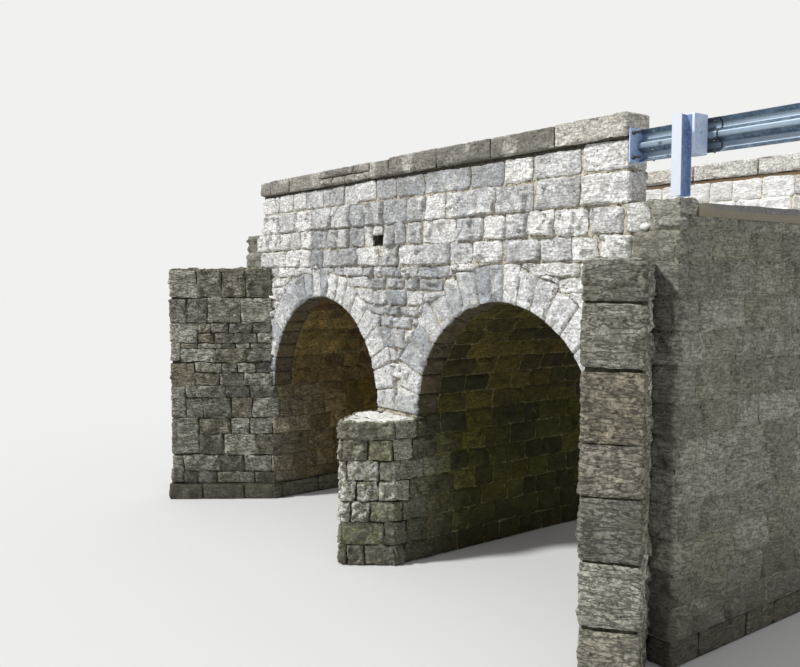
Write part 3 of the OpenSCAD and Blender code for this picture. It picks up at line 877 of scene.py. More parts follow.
def buildRing(side, hand, look):
    dice = random.Random(f"ring {side} {hand}")
    node = ("upstream" if side < 0 else "downstream") + ("_left" if hand < 0 else "_right") + "_ring"
    body = openPiece(node, soffit(sunk["rings"], side))
    # the ring's mortar off its faces is painted dark as shade
    repoint(body, 2, lambda centre, normal: abs(normal.y) < 0.9)
    if side < 0:
        washOut(body, Vector((0, side, 0)), washed["near"])
    mean = (bridge["archR"] + bridge["ringR"]) / 2
    for start, end, outer, shear in ringStones(side, hand):
        gap = look["joint"] * dice.uniform(0.3, 1.2)
        low = (start * mean + gap / 2, bridge["archR"] + dice.uniform(-0.003, 0.006),
               bridge["faceY"] - bridge["ringDeep"] + 0.006)
        high = (end * mean - gap / 2, outer, bridge["faceY"] + dice.uniform(-0.004, 0.012))

        def place(a, r, y):
            # a runs along the ring's middle line, so that the joints stay radial
            return Vector((hand * (bridge["archX"] + r * math.cos(a / mean)), side * y,
                           spring + r * math.sin(a / mean)))

        # painted sunlight: each ring is painted paler on the half that the sun reaches
        sunny = hand * (math.degrees((start + end) / 2) - 90) < -5 and side < 0
        tone = Vector((dice.uniform(0.7, 1.0), dice.uniform(0, 0.5), 0)) if sunny else toneOf(dice)
        carveBlock(body, low, high, place, look, dice, tone, shear=shear)
    masonry(node, "_voussoirs", body, "ring_stone", "buff", "ring_stone", "open")


for side in (-1, 1):
    for hand in (-1, 1):
        buildRing(side, hand, voussoir if side < 0 else dict(voussoir, cells=(0.034, 0.036, 0.07)))
print("rings are built")

# Parapets: heights of the courses above the springing, and joints read along the near face
parapetCourses = {
    (2.825, 3.13): [-3.2, -2.75, -2.35, -1.85, -1.27, -0.46, 0.0, 0.60, 1.48, 2.04, 2.49, 3.165],
    (2.50, 2.825): [-1.65, -1.11, -0.74, -0.30, 0.23, 0.61, 1.00, 1.895, 2.50, 3.15],
}
plateSeat = (-2.07, -1.81, 4.77)      # where the guardrail's plate is bolted on: Y from and to, Z from


def buildParapet(side, look, known):
    dice = random.Random(f"parapet {side}")
    node = ("upstream" if side < 0 else "downstream") + "_parapet"
    end, face, inner = bridge["parapetEnd"], bridge["faceY"], bridge["parapetIn"]
    middle = (face + inner) / 2
    place, marks, folds = pathPatch([(-end, -middle), (-end, -face), (end, -face), (end, -inner),
                                     (-end, -inner), (-end, -middle)], 0.018, 1, -side)
    loop = marks[5]
    folds = folds + [(mark + loop, reach) for mark, reach in folds]
    body = openPiece(node, opens((0, 1, 0), (0, -1, 0), (1, 0, 0), (-1, 0, 0), depth=sunk["walls"]))
    washOut(body, Vector((0, side, 0)), washed["near" if known else "far"])

    def loopPlace(u, v, w):
        spot = place(u % loop, v, w)
        if spot.x > end:      # the end is dressed nearly flat, and quite flat behind the guardrail's plate
            behind = plateSeat[0] < spot.y < plateSeat[1] and spot.z > plateSeat[2]
            spot.x = min(spot.x, end - 0.0005) if behind else end + 0.35 * (spot.x - end)
        return spot

    below = []
    for (low, high), read in parapetCourses.items():
        if high > 3.0:      # the copings lie on a thick bed
            high -= 0.026 if known else 0.035
        front = [marks[1] + end + x for x in read] if known else []
        first = marks[1] + dice.uniform(0.4, 0.6)
        turn = front[-1] if front else marks[2] - dice.uniform(0.45, 0.6)
        back = marks[3] + dice.uniform(0.3, 0.5)
        joints = layCourse(dice, first, turn, (0.32, 0.62), below, front[:-1])
        joints += layCourse(dice, back, marks[4] - dice.uniform(0.2, 0.4), (0.32, 0.62)) + [loop + first]
        below = joints
        for cell in cellsOf(dice, joints, spring + low, spring + high, look):
            onBack = cell[0] > marks[3] + 0.1 and cell[1] < marks[4]
            tone = sunlitPaintTone(dice, 3.0 if onBack else cell[0] - marks[1] - end)
            # painted light: the stones of the parapet's end, and of the far parapet's road side, are painted
            # palest, as in full sun
            if (onBack and not known) or (cell[1] > marks[2] and cell[0] < marks[3]):
                tone = Vector((dice.uniform(0.9, 1.0), dice.uniform(0, 0.5), 0))
            fine = dict(farFaced if onBack else look, stone=2 if onBack and not known else 1)
            if high > 3.0:      # the top course is dressed flatter, so that the coping oversails it
                fine = dict(fine, swell=0.0, most=0.004)
            dressFace(body, loopPlace, cell, fine, dice, tone, folds=folds)
    finishes = ("buff", "face_stone") if known else ("sunlit", "face_stone", "far_stone")
    masonry(node, "_masonry", body, "face_stone", *finishes)


buildParapet(-1, rockFaced, True)
buildParapet(1, dict(farFaced, joint=0.014, bed=0.009, swell=0.012), False)
print("parapets are built")

# Spandrel walls
spandrelCourses = {
    (2.215, 2.50): [-1.47, -1.135, -0.757, -0.56, -0.30, -0.01, 0.20, 0.557, 1.205, 1.69, 2.057, 2.42,
                    2.80],
    (1.945, 2.215): [-0.905, -0.405, 0.05, 0.408, 1.10, 1.53, 2.03, 2.60, 3.05],
    (1.795, 1.945): [-0.81, -0.527, -0.338, 0.0, 0.11, 0.30, 0.46, 1.12],
    (1.63, 1.795): [-0.62, -0.25, 0.17, 0.5],
    (1.42, 1.63): [-0.55, -0.19, 0.22, 0.61],
    (1.275, 1.42): [-0.31, 0.11, 0.476],
    (1.125, 1.275): [-0.36, -0.05, 0.33],
    (0.84, 1.125): [-0.12, 0.2],
    (0.665, 0.84): [0.03],
    (0.45, 0.665): [],
    (0.22, 0.45): [],
    (0.0, 0.22): [],
}
# one stone has gone from the near face
missing = {"x": (-0.565, -0.295), "z": (2.222, 2.368), "deep": 0.16}
# broken faces that show as dark slants: a spot on the stone, turn of the break, fall, where it starts
spalls = [
    ((0.90, 2.36), math.radians(315), 0.45, -0.22),
    ((1.30, 2.08), math.radians(285), 0.40, -0.10),
    ((-0.66, 2.30), math.radians(300), 0.4, 0.15),
]


def buildSpandrel(side, look, known):
    dice = random.Random(f"spandrel {side}")
    node = ("upstream" if side < 0 else "downstream") + "_spandrel_wall"
    way = Vector((0, side, 0))

    def place(u, v, w):
        return Vector((u, side * (bridge["faceY"] + w), v))

    body = openPiece(node, opens(way, depth=sunk["walls"]))
    if known:
        hollow(body, way, missing["x"], [spring + z for z in missing["z"]], missing["deep"])
    below = []
    for row, ((low, high), read) in enumerate(spandrelCourses.items()):
        end = bridge["wallEnd"] + (-0.12 if row % 2 else 0.1)
        joints = layCourse(dice, -end, end, (0.28, 0.52), below, read if known else ())
        below = joints
        for cell in cellsOf(dice, joints, spring + low, spring + high, look):
            met = archCut(cell, side, 0.008)
            tone = sunlitPaintTone(dice, (cell[0] + cell[1]) / 2)
            if met is None:
                continue
            middle = [sum(missing[key]) / 2 for key in ("x", "z")]
            if known and cell[0] < middle[0] < cell[1] and cell[2] < spring + middle[1] < cell[3]:
                cell = (cell[0], cell[1], spring + missing["z"][1], cell[3])
            spall = None
            for (x, z), turn, fall, share in spalls if known else ():
                if cell[0] < x < cell[1] and cell[2] < spring + z < cell[3]:
                    spall = (turn, fall, share)
            dressFace(body, place, cell, look, dice, tone, met[0], (), spall, met[1])
    washOut(body, way, washed["near" if known else "far"])
    masonry(node, "_masonry", body, "face_stone", "buff", "face_stone", "open")


buildSpandrel(-1, rockFaced, True)
buildSpandrel(1, farFaced, False)
print("spandrel walls are built")

# Vaults
vaultFaced = dict(rockFaced, mesh=0.036, swell=0.010, lean=0.05, joint=0.022, bed=0.016, arris=0.004,
                  depth=0.035, skew=0.03, roll=0.03, sag=0.0, breaks=[(0.2, 0.18, 0.006)], rows=19)


def buildVault(hand, look):
    dice = random.Random(f"vault {hand}")
    node = ("left" if hand < 0 else "right") + "_vault"
    body = openPiece(node, soffit(sunk["vaults"]))
    girth = math.pi * bridge["archR"]
    reach = bridge["faceY"] - bridge["ringDeep"]
    rows = look["rows"]
    below = []
    for row in range(rows):
        joints = layCourse(dice, -reach, reach, (0.28, 0.60), below)
        below = joints
        high = abs(row + 0.5 - rows / 2) / rows
        for cell in cellsOf(dice, joints, girth * row / rows, girth * (row + 1) / rows, look):
            tint = dice.uniform(0.8, 1.0) if high < 0.2 and hand < 0 else dice.uniform(0, 0.7)
            dressFace(body, vaultPatch(hand), cell, look, dice, Vector((dice.random(), tint, 0)))
    masonry(node, "_masonry", body, "vault_stone", "damp", "vault_stone" if hand > 0 else "ochre_vault")


buildVault(-1, vaultFaced)
buildVault(1, vaultFaced)
print("vaults are built")

# Pier and cutwaters
pierBeds = [-0.275, -0.55, -0.81, -1.075, -1.34, -1.64, -1.9]
cutwaterJoints = {   # distances from the upstream tip along the facet that the photograph shows
    0: [0.74, 1.09], 1: [0.39, 0.715, 1.02], 2: [0.535, 0.83], 3: [0.53, 0.98], 4: [0.42, 0.86],
    5: [0.6], 6: [0.35, 0.9],
}
growths = {   # stones on that facet that carry lichen or moss
    (2, 0): 1.0, (3, 0): 1.0, (4, 0): 0.8, (1, 1): -0.9, (4, 1): -0.8, (5, 0): -0.7,
}
cutFaced = dict(rockFaced, mesh=0.018, joint=0.014, bed=0.010, arris=0.008, roll=0.018, swell=0.016,
                lean=0.06, corner=0.018, breaks=[(0.15, 0.24, 0.008), (0.065, 0.22, 0.004)], least=-0.006,
                sag=0.006)
pierFaced = dict(cutFaced, mesh=0.03, joint=0.040, bed=0.026, arris=0.004, corner=0.030)


def layTop(body, outline, level, look, dice, splits=(), flipX=1, flipY=1):
    # flat stones that close the top of a wall: outline is the wall's own convex plan
    spots = [Vector(p) for p in outline]
    middle = sum(spots, Vector((0, 0))) / len(spots)
    cuts = []
    for a, b in zip(spots, spots[1:] + spots[:1]):
        out = Vector(((b - a).y, -(b - a).x)).normalized()
        if out.dot(a - middle) < 0:
            out = -out
        cuts.append((a - out * 0.008, out))
    xs, ys = [p.x for p in spots], [p.y for p in spots]
    lines = [min(ys)] + sorted(splits) + [max(ys)]
    for low, high in zip(lines, lines[1:]):
        cell = (min(xs), max(xs), low + 0.006, high - 0.006)
        dressFace(body, lambda u, v, w: Vector((flipX * u, flipY * v, level + w)), cell,
                  dict(look, swell=0.002, corner=0.001, skew=0.0, lean=0.0, sag=0.0), dice, toneOf(dice),
                  cuts)


def buildPier(look):
    dice = random.Random("pier")
    half, shoulder, tip, face = bridge["pierHalf"], bridge["shoulderY"], bridge["noseY"], bridge["faceY"]
    place, marks, folds = pathPatch(
        [(-half, 0), (-half, -shoulder), (0, -tip), (half, -shoulder), (half, shoulder), (0, tip),
         (-half, shoulder), (-half, 0)], [0.04, 0.07, 0.04, 0.04, 0.07, 0.04])

    def cutSides(centre, normal):
        if normal.z > 0.9:
            return sunk["cutwaterTops"]
        return sunk["cutwaters"] if abs(normal.z) < 0.1 and abs(centre.y) > face + 0.001 else 0.0

    bodies = {"pier": openPiece("pier", opens((1, 0, 0), (-1, 0, 0), depth=sunk["pier"])),
              "upstream_cutwater": openPiece("upstream_cutwater", cutSides),
              "downstream_cutwater": openPiece("downstream_cutwater", cutSides)}
    repoint(bodies["pier"], 2, lambda centre, normal: abs(normal.y) > 0.9)
    # where the faces of the walls cross the path
    leftUp, rightUp = marks[1] - (shoulder - face), marks[3] + (shoulder - face)
    rightDown, leftDown = marks[4] - (shoulder - face), marks[6] + (shoulder - face)
    capZ = bridge["cutwaterTop"] - spring
    high = 0.0
    below = []
    for row, low in enumerate(pierBeds):
        known = [marks[2] + x for x in cutwaterJoints[row]]
        first = marks[2] - dice.uniform(0.2, 0.4)
        runs = [(0, first, high, ()), (first, known[-1], high, known[:-1]), (known[-1], marks[7], high, ())]
        if row == 0:     # the cutwaters' top course stops lower than the pier's
            runs = [(0, leftUp, high, ()), (leftUp, rightUp, capZ, [first] + known[:-1]),
                    (rightUp, rightDown, high, ()), (rightDown, leftDown, capZ, ()),
                    (leftDown, marks[7], high, ())]
        course = []
        for start, end, top, joined in runs:
            joints = layCourse(dice, start, end, (0.26, 0.52), below, joined)
            course += joints
            for cell in cellsOf(dice, joints, spring + low, spring + top, look):
                middle = (cell[0] + cell[1]) / 2
                node = "pier"
                if leftUp < middle < rightUp:
                    node = "upstream_cutwater"
                elif rightDown < middle < leftDown:
                    node = "downstream_cutwater"
                growth = 0.0
                edges = [first] + known
                for index in range(len(edges) - 1):
                    if edges[index] < middle < edges[index + 1]:
                        growth = growths.get((row, index), 0.0)
                fine = look if node == "upstream_cutwater" else dict(look, mesh=0.03)
                if node == "pier":
                    fine = dict(pierFaced, mesh=0.022 if rightUp < middle < rightUp + 1.2 else 0.034)
                dressFace(bodies[node], place, cell, fine, dice, toneOf(dice, growth), folds=folds)
        below = course
        high = low
    cap = [(-half, -face), (-half, -shoulder), (-0.05, -tip + 0.05), (0.05, -tip + 0.05), (half, -shoulder),
           (half, -face)]
    slab = dict(look, mesh=0.02, breaks=[(0.22, 0.08, 0.004)], wave=0.004, stone=2)
    for side, node in ((-1, "upstream_cutwater"), (1, "downstream_cutwater")):
        layTop(bodies[node], cap, bridge["cutwaterTop"] - 0.006, slab, dice, [-2.52], 1, -side)
        masonry(node, "_masonry", bodies[node], "cutwater_stone", "open", "cutwater_stone", "cutwater_cap")
    masonry("pier", "_masonry", bodies["pier"], "creek_masonry", "damp", "creek_masonry", "buff")


buildPier(cutFaced)
print("pier and cutwaters are built")

# Abutments and wing walls, laid on one path round the stream side of each bank
flare, wingLong, wingThick = math.radians(35), 1.7, 0.5
along = Vector((math.sin(flare), -math.cos(flare)))
across = Vector((math.cos(flare), math.sin(flare)))
wingRoot = Vector((bridge["abutmentX"], -bridge["faceY"]))
wingTip = wingRoot + along * wingLong
wingTipBack = wingTip + across * wingThick
wingRootBack = wingRoot + Vector((wingThick / math.cos(flare), 0))
# beds above the springing, top lift first; a lift may hold thinner courses behind its corner block
bankLifts = {
    -1: [(1.46, 1.94, []), (1.05, 1.46, []), (0.71, 1.05, [0.88]), (0.39, 0.71, [0.62]),
         (0.0, 0.39, [0.21]), (-0.55, 0.0, [-0.21]), (-1.17, -0.55, [-0.82]), (-1.65, -1.17, [-1.45])],
    1: [(1.58, 1.94, []), (1.04, 1.58, [1.30]), (0.44, 1.04, [0.72]), (0.0, 0.44, [0.22]),
        (-0.54, 0.0, [-0.27]), (-1.10, -0.54, [-0.82]), (-1.65, -1.10, [-1.38])],
}
bankFaced = dict(rockFaced, mesh=0.024, joint=0.013, bed=0.010, arris=0.006, roll=0.022, swell=0.008,
                 lean=0.05, corner=0.02, breaks=[(0.22, 0.18, 0.009), (0.09, 0.18, 0.004)], strata=0.004,
                 least=-0.008)
cornerFaced = dict(bankFaced, mesh=0.018, joint=0.008, bed=0.022, roll=0.014, swell=0.005, lean=0.02,
                   strata=0.014, corner=0.012, wander=0.008, breaks=[(0.3, 0.08, 0.005)])


def backAbutment(body, hand, dice):
    # the outer ends of the bridge, which stand in the banks: larger, plainer blocks
    look = dict(rockFaced, mesh=0.042, joint=0.020, bed=0.014, swell=0.018, skew=0.05,
                breaks=[(0.24, 0.24, 0.012)], sag=0.03, stone=2)
    start, face, back, inner = 3.80, bridge["faceY"], bridge["backX"], bridge["parapetIn"]
    stop = 4.03      # the longer courses of the face walls end here
    place, marks, folds = pathPatch([(start, -face), (back, -face), (back, face), (start, face)], 0.03,
                                    hand, 1)
    beds = [bridge["footingTop"], 0.56, 0.90, 1.22, 1.55, 1.90, 2.20, 2.52, 2.86, 3.18, 3.50, 3.84, 4.115,
            bridge["roadUnder"]]
    below = []
    for row, (low, high) in enumerate(zip(beds, beds[1:])):
        # above the wings the courses end where those of the face walls do
        edge = stop - start if high < bridge["wingTop"] + 0.01 or high > 4.2 else 0.012
        joints = layCourse(dice, edge, marks[3] - edge, (0.34, 0.8), below)
        below = joints
        for cell in cellsOf(dice, joints, low, high, look):
            dressFace(body, place, cell, look, dice, toneOf(dice), folds=folds)
    # beside the road the wall stands as high as the road
    ledge = back - start + face - inner
    for first, last in ((stop - start, ledge - 0.01), (marks[3] - ledge + 0.01, marks[3] - stop + start)):
        for cell in cellsOf(dice, layCourse(dice, first, last, (0.3, 0.6)), bridge["roadUnder"],
                            bridge["roadZ"], look):
            dressFace(body, place, cell, look, dice, toneOf(dice), folds=folds)
    end = bridge["wallEnd"]
    for sign in (1, -1):
        layTop(body, [(end, -face), (back, -face), (back, -inner), (end, -inner)], bridge["roadZ"] - 0.004,
               look, dice, (), hand, sign)


def buildBank(hand, look):
    dice = random.Random(f"bank {hand}")
    name = "left" if hand < 0 else "right"
    mirror = [Vector((p.x, -p.y)) for p in (wingRootBack, wingTipBack, wingTip, wingRoot)]
    place, marks, folds = pathPatch(mirror + [wingRoot, wingTip, wingTipBack, wingRootBack],
                                    [0.02, 0.02, 0.05, 0.05, 0.02, 0.02], hand, 1)
    nodes = {"down": f"downstream_{name}_wing", "middle": f"{name}_abutment", "up": f"upstream_{name}_wing"}
    sides = opens((1, 0, 0), (-1, 0, 0), (0, 1, 0), (0, -1, 0), depth=sunk["abutments"])

    def wingSides(centre, normal):
        if normal.z > 0.9:
            return sunk["wingTops"]
        return sunk["wings"] if abs(normal.z) < 0.1 and abs(centre.y) > bridge["faceY"] + 0.001 else 0.0

    bodies = {"down": openPiece(nodes["down"], wingSides), "up": openPiece(nodes["up"], wingSides),
              "middle": openPiece(nodes["middle"], sides)}
    repoint(bodies["middle"], 3, lambda centre, normal: centre.x * hand > 3.7 or abs(normal.y) > 0.9)
    # what the photograph doesn't show, or hardly, has coarser cells
    cells = {"middle": (0.03, 0.036), "up": (look["mesh"], 0.03), "down": (0.032, 0.032)}
    dressed = {key: dict(pierFaced if key == "middle" else look, mesh=pair[max(hand, 0)])
               for key, pair in cells.items()}
    below = []
    for row, (low, high, inner) in enumerate(bankLifts[hand]):
        long_, short = dice.uniform(0.34, 0.5), dice.uniform(0.16, 0.28)
        if row % 2:
            long_, short = short, long_
        blocks = [(marks[1] - short, marks[2] + long_), (marks[5] - long_, marks[6] + short)]
        runs = [(0, blocks[0][0]), (blocks[0][1], marks[3]), (marks[4], blocks[1][0]),
                (blocks[1][1], marks[7])]
        if high <= 0.01:
            runs = [(0, blocks[0][0]), (blocks[0][1], blocks[1][0]), (blocks[1][1], marks[7])]
        for start, end in blocks:
            for cell in cellsOf(dice, [start, end], spring + low, spring + high, cornerFaced):
                target = "down" if cell[0] < marks[3] else "up"
                # at the right end the corner blocks are the darker ones, but for the lowest
                shade = (0.0, 0.4) if hand > 0 and low > -1.0 else (0.4, 0.9)
                tone = Vector((dice.uniform(*shade), dice.random(), 0.0))
                fine = cornerFaced if target == "up" else dict(cornerFaced, mesh=0.026)
                dressFace(bodies[target], place, cell, fine, dice, tone, folds=folds)
        beds = [low] + sorted(inner) + [high]
        for bottom, top in zip(beds, beds[1:]):
            lengths = (0.22, 0.42) if top - bottom < 0.2 else (0.28, 0.55)
            course = []
            for start, end in runs:
                joints = layCourse(dice, start, end, lengths, below)
                course += joints
                for cell in cellsOf(dice, joints, spring + bottom, spring + top, look):
                    middle = (cell[0] + cell[1]) / 2
                    target = "down" if middle < marks[3] else "up" if middle > marks[4] else "middle"
                    dressFace(bodies[target], place, cell, dressed[target], dice, toneOf(dice), folds=folds)
            below = course
    for target, sign in (("down", -1), ("up", 1)):
        layTop(bodies[target], [wingRoot, wingTip, wingTipBack, wingRootBack], bridge["wingTop"] - 0.008,
               dict(look, mesh=0.035), dice, [-3.0, -2.55], hand, sign)
        masonry(nodes[target], "_masonry", bodies[target], "wing_stone", "open")
    backAbutment(bodies["middle"], hand, dice)
    masonry(nodes["middle"], "_masonry", bodies["middle"], "creek_masonry", "damp",
            "creek_masonry" if hand > 0 else "sunny_creek", "bank_masonry", "bank")


for hand in (-1, 1):
    buildBank(hand, bankFaced)
print("abutments and wing walls are built")

# Copings
copingSlab = {
    "joint": 0.010, "cells": (0.024, 0.024, 0.024), "round": 0.012, "roll": 0.030, "arris": 0.009,
    "swell": 0.002, "breaks": [(0.24, 0.12, 0.010), (0.08, 0.10, 0.003)], "wave": 0.012, "strata": 0.003,
    "least": -0.035, "dirtAndShade": 0.012,
}
copingJoints = [-3.76, -3.42, -2.80, -1.84, -0.57, -0.12, 0.88, 1.85, 2.83, 3.76]


def buildCoping(side, look, joints):
    dice = random.Random(f"coping {side}")
    node = ("upstream" if side < 0 else "downstream") + "_coping"
    low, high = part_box(node)
    nearY, farY = bridge["faceY"] + 0.05, bridge["parapetIn"] - 0.05

    def place(x, y, z):
        return Vector((x, side * y, z))

    body = bmesh.new()      # the mortar between the slabs
    addBox(body, (2 * bridge["parapetEnd"] - 0.08, nearY - farY - 0.08, high.z - low.z - 0.05),
           (0, side * (nearY + farY) / 2, (low.z + high.z - 0.05) / 2))
    body.verts.layers.float_vector.new(toneLayer)
    body.verts.layers.float.new(edgeLayer)
    for left, right in zip(joints, joints[1:]):
        gap = look["joint"] / 2
        lifts = [(low.z, high.z - dice.uniform(0.0, 0.028), [left, right])]
        # one slab is a thin cap over a row of small stones
        if side < 0 and (left, right) == (-1.84, -0.57):
            lifts = [(low.z, low.z + 0.11, [left, -1.52, -1.18, -0.93, right]),
                     (low.z + 0.122, high.z - 0.012, [left, -0.95, right])]
        for bottom, top, ends in lifts:
            for start, end in zip(ends, ends[1:]):
                near, far = nearY - dice.uniform(0.0, 0.006), farY + dice.uniform(0.0, 0.012)
                tone = toneOf(dice)
                if side < 0 and right > 3.7:      # painted sunlight: the slab at the guardrail is painted palest, as sunlit
                    tone = Vector((1.0, 1.0, 0.0))
                under = bottom + dice.uniform(0.0, 0.010)
                carveBlock(body, (start + gap, far, under), (end - gap, near, top), place, look, dice, tone,
                           lidded=((2, 1), (2, -1), (0, 1)))
    masonry(node, "_slabs", body, "coping_stone", "buff", "coping_stone" if side < 0 else "bright_coping")


buildCoping(-1, copingSlab, copingJoints)
buildCoping(1, dict(copingSlab, cells=(0.038, 0.034, 0.034)),
            [-3.76, -2.9, -1.95, -0.98, 0.02, 0.95, 1.88, 2.85, 3.76])
print("copings are built")

# Footings
footingFaced = dict(rockFaced, mesh=0.042, joint=0.02, swell=0.0, arris=0.008, depth=0.06, lean=0.0,
                    wave=0.003, wander=0.004, breaks=[(0.25, 0.08, 0.004)], least=-0.012, sag=0.0)


def buildFooting(hand, look):
    dice = random.Random(f"footing {hand}")
    name = "left" if hand < 0 else "right"
    out = 0.05
    inner = wingRoot + Vector((-out, -out * math.tan(flare / 2)))
    half = [inner, wingTip + (along - across) * out, wingTipBack + along * out, wingRootBack]
    turned = [Vector((p.x, -p.y)) for p in reversed(half)]
    back, face = bridge["backX"], bridge["faceY"]
    body = openPiece(f"{name}_footing",
                     lambda centre, normal: sunk["footings"] if abs(normal.z) < 0.1 else 0.0)
    outlines = [turned + half,
                [(wingRootBack.x, -face), (back, -face), (back, face), (wingRootBack.x, face)]]
    for outline in outlines:
        place, marks, folds = pathPatch(outline, 0.02, hand, 1)
        joints = layCourse(dice, 0.0, marks[-1], (0.45, 0.85))
        for cell in cellsOf(dice, joints, 0.0, bridge["footingTop"] + 0.008, look):
            dressFace(body, place, cell, look, dice, toneOf(dice), folds=folds)
    masonry(f"{name}_footing", "_blocks", body, "footing_stone", "open")


for hand in (-1, 1):
    buildFooting(hand, footingFaced)
print("footings are built")

# Road: worn asphalt with a little camber and two wheel tracks a side
road = {"cell": 0.07, "camber": 0.020, "rut": 0.006, "ruts": (-1.25, -0.45, 0.45, 1.25), "rough": 0.003,
        "binder": "#55565a", "chip": "#8d8c88", "dust": "#9a9383", "crack": "#2b2b2d",
        "thick": 0.06, "broken": 0.03, "base": "#8c8371"}


def asphaltMaterial(look):
    # Old asphalt rolled over fine chippings: grey and granular, dusty at its edges, finely cracked
    material, tree = newMaterial("wornAsphalt")
    spot = addNode(tree, "TexCoord").outputs["Object"]
    # chippings of 6 to 10 mm, drawn at 16 mm so that they show
    chips = addNode(tree, "TexVoronoi", {"Scale": 1000 / 16}, {"Vector": spot}).outputs
    patch = addNode(tree, "TexNoise", {"Scale": 1000 / 700, "Detail": 6.0, "Roughness": 0.6},
                    {"Vector": spot})
    bent = addNode(tree, "VectorMath", {"operation": "MULTIPLY_ADD", 1: (0.35, 0.35, 0.35)},
                   {0: patch.outputs["Color"], 2: spot}).outputs[0]
    crack = addNode(tree, "TexVoronoi", {"feature": "DISTANCE_TO_EDGE", "Scale": 1000 / 900},
                    {"Vector": bent}).outputs["Distance"]
    side = addNode(tree, "SeparateXYZ", None, {0: spot}).outputs[1]
    side = addNode(tree, "Math", {"operation": "ABSOLUTE"}, {0: side}).outputs[0]
    colour = addNode(tree, "Mix", {"data_type": "RGBA", 6: linear(look["binder"]), 7: linear(look["chip"])},
                     {0: chips["Distance"]}).outputs[2]
    for value, start, end, most, paint in (
            (patch.outputs["Fac"], 0.42, 0.62, 0.35, look["dust"]), (side, 1.45, 1.72, 0.8, look["dust"]),
            (crack, 0.005, 0.001, 0.6, look["crack"])):
        share = addNode(tree, "MapRange", {"From Min": start, "From Max": end, "To Max": most},
                        {"Value": value})
        colour = addNode(tree, "Mix", {"data_type": "RGBA", 7: linear(paint)},
                         {0: share.outputs[0], 6: colour}).outputs[2]
    # under the asphalt lies a base of crushed stone, which shows at the road's ends
    height = addNode(tree, "SeparateXYZ", None, {0: spot}).outputs[2]
    level = bridge["roadZ"] - look["thick"] - 0.01
    share = addNode(tree, "MapRange", {"From Min": level, "From Max": level - 0.006, "To Max": 0.75},
                    {"Value": height})
    colour = addNode(tree, "Mix", {"data_type": "RGBA", 7: linear(look["base"])},
                     {0: share.outputs[0], 6: colour}).outputs[2]
    bump = addNode(tree, "Bump", {"Strength": 1.0, "Distance": 0.006}, {"Height": chips["Distance"]})
    shader = addNode(tree, "BsdfPrincipled", {"Roughness": 0.9, "IOR": 1.5, "Specular IOR Level": 0.3},
                     {"Base Color": colour, "Normal": bump.outputs[0]})
    addNode(tree, "OutputMaterial", None, {"Surface": shader.outputs[0]})
    return material


def buildRoad(look):
    low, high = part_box("road_surface")
    size = high - low
    sheet = bmesh.new()
    bmesh.ops.create_grid(sheet, x_segments=round(size.x / look["cell"]),
                          y_segments=round(size.y / look["cell"]), size=0.5)
    bmesh.ops.scale(sheet, vec=(size.x, size.y, 1), verts=sheet.verts[:])
    for vert in sheet.verts:
        x, y = vert.co.x, vert.co.y
        fall = look["camber"] * (abs(y) / high.y) ** 2
        fall += look["rough"] * (1 + noise.fractal(vert.co * 4, 1.0, 2.0, 4))
        for rut in look["ruts"]:
            fall += look["rut"] * math.exp(-((y - rut) / 0.16) ** 2)
        vert.co.z = high.z - max(0.0, fall)
    rim = [e for e in sheet.edges if e.is_boundary]

    def breakEnd(vert, share):
        # only the ends' own vertices: the next ones inwards stand a whole cell away
        if abs(vert.co.x) > high.x - 1.5 * look["broken"]:
            end = math.copysign(high.x, vert.co.x)
            bite = 0.5 + 0.5 * noise.noise(Vector((vert.co.y * 9, share * 4, end)))
            vert.co.x = end - math.copysign(look["broken"] * share * bite, end)

    for vert in {v for e in rim for v in e.verts}:
        breakEnd(vert, 1.0)
    # the ends are broken off unevenly, and the lower the less
    for level, share in ((high.z - 0.03, 0.7), (high.z - look["thick"], 0.5), (high.z - 0.10, 0.25),
                         (low.z, 0.0)):
        made = bmesh.ops.extrude_edge_only(sheet, edges=rim)["geom"]
        for vert in vertsOf(made):
            vert.co.z = level
            breakEnd(vert, share)
        rim = [e for e in edgesOf(made) if e.is_boundary]
    bmesh.ops.contextual_create(sheet, geom=rim)
    turnOutwards(sheet)
    for face in sheet.faces:
        face.smooth = True
    closePiece("road_surface", "road_surface_asphalt", sheet, [asphaltMaterial(look)], 30)


buildRoad(road)
print("road is laid")

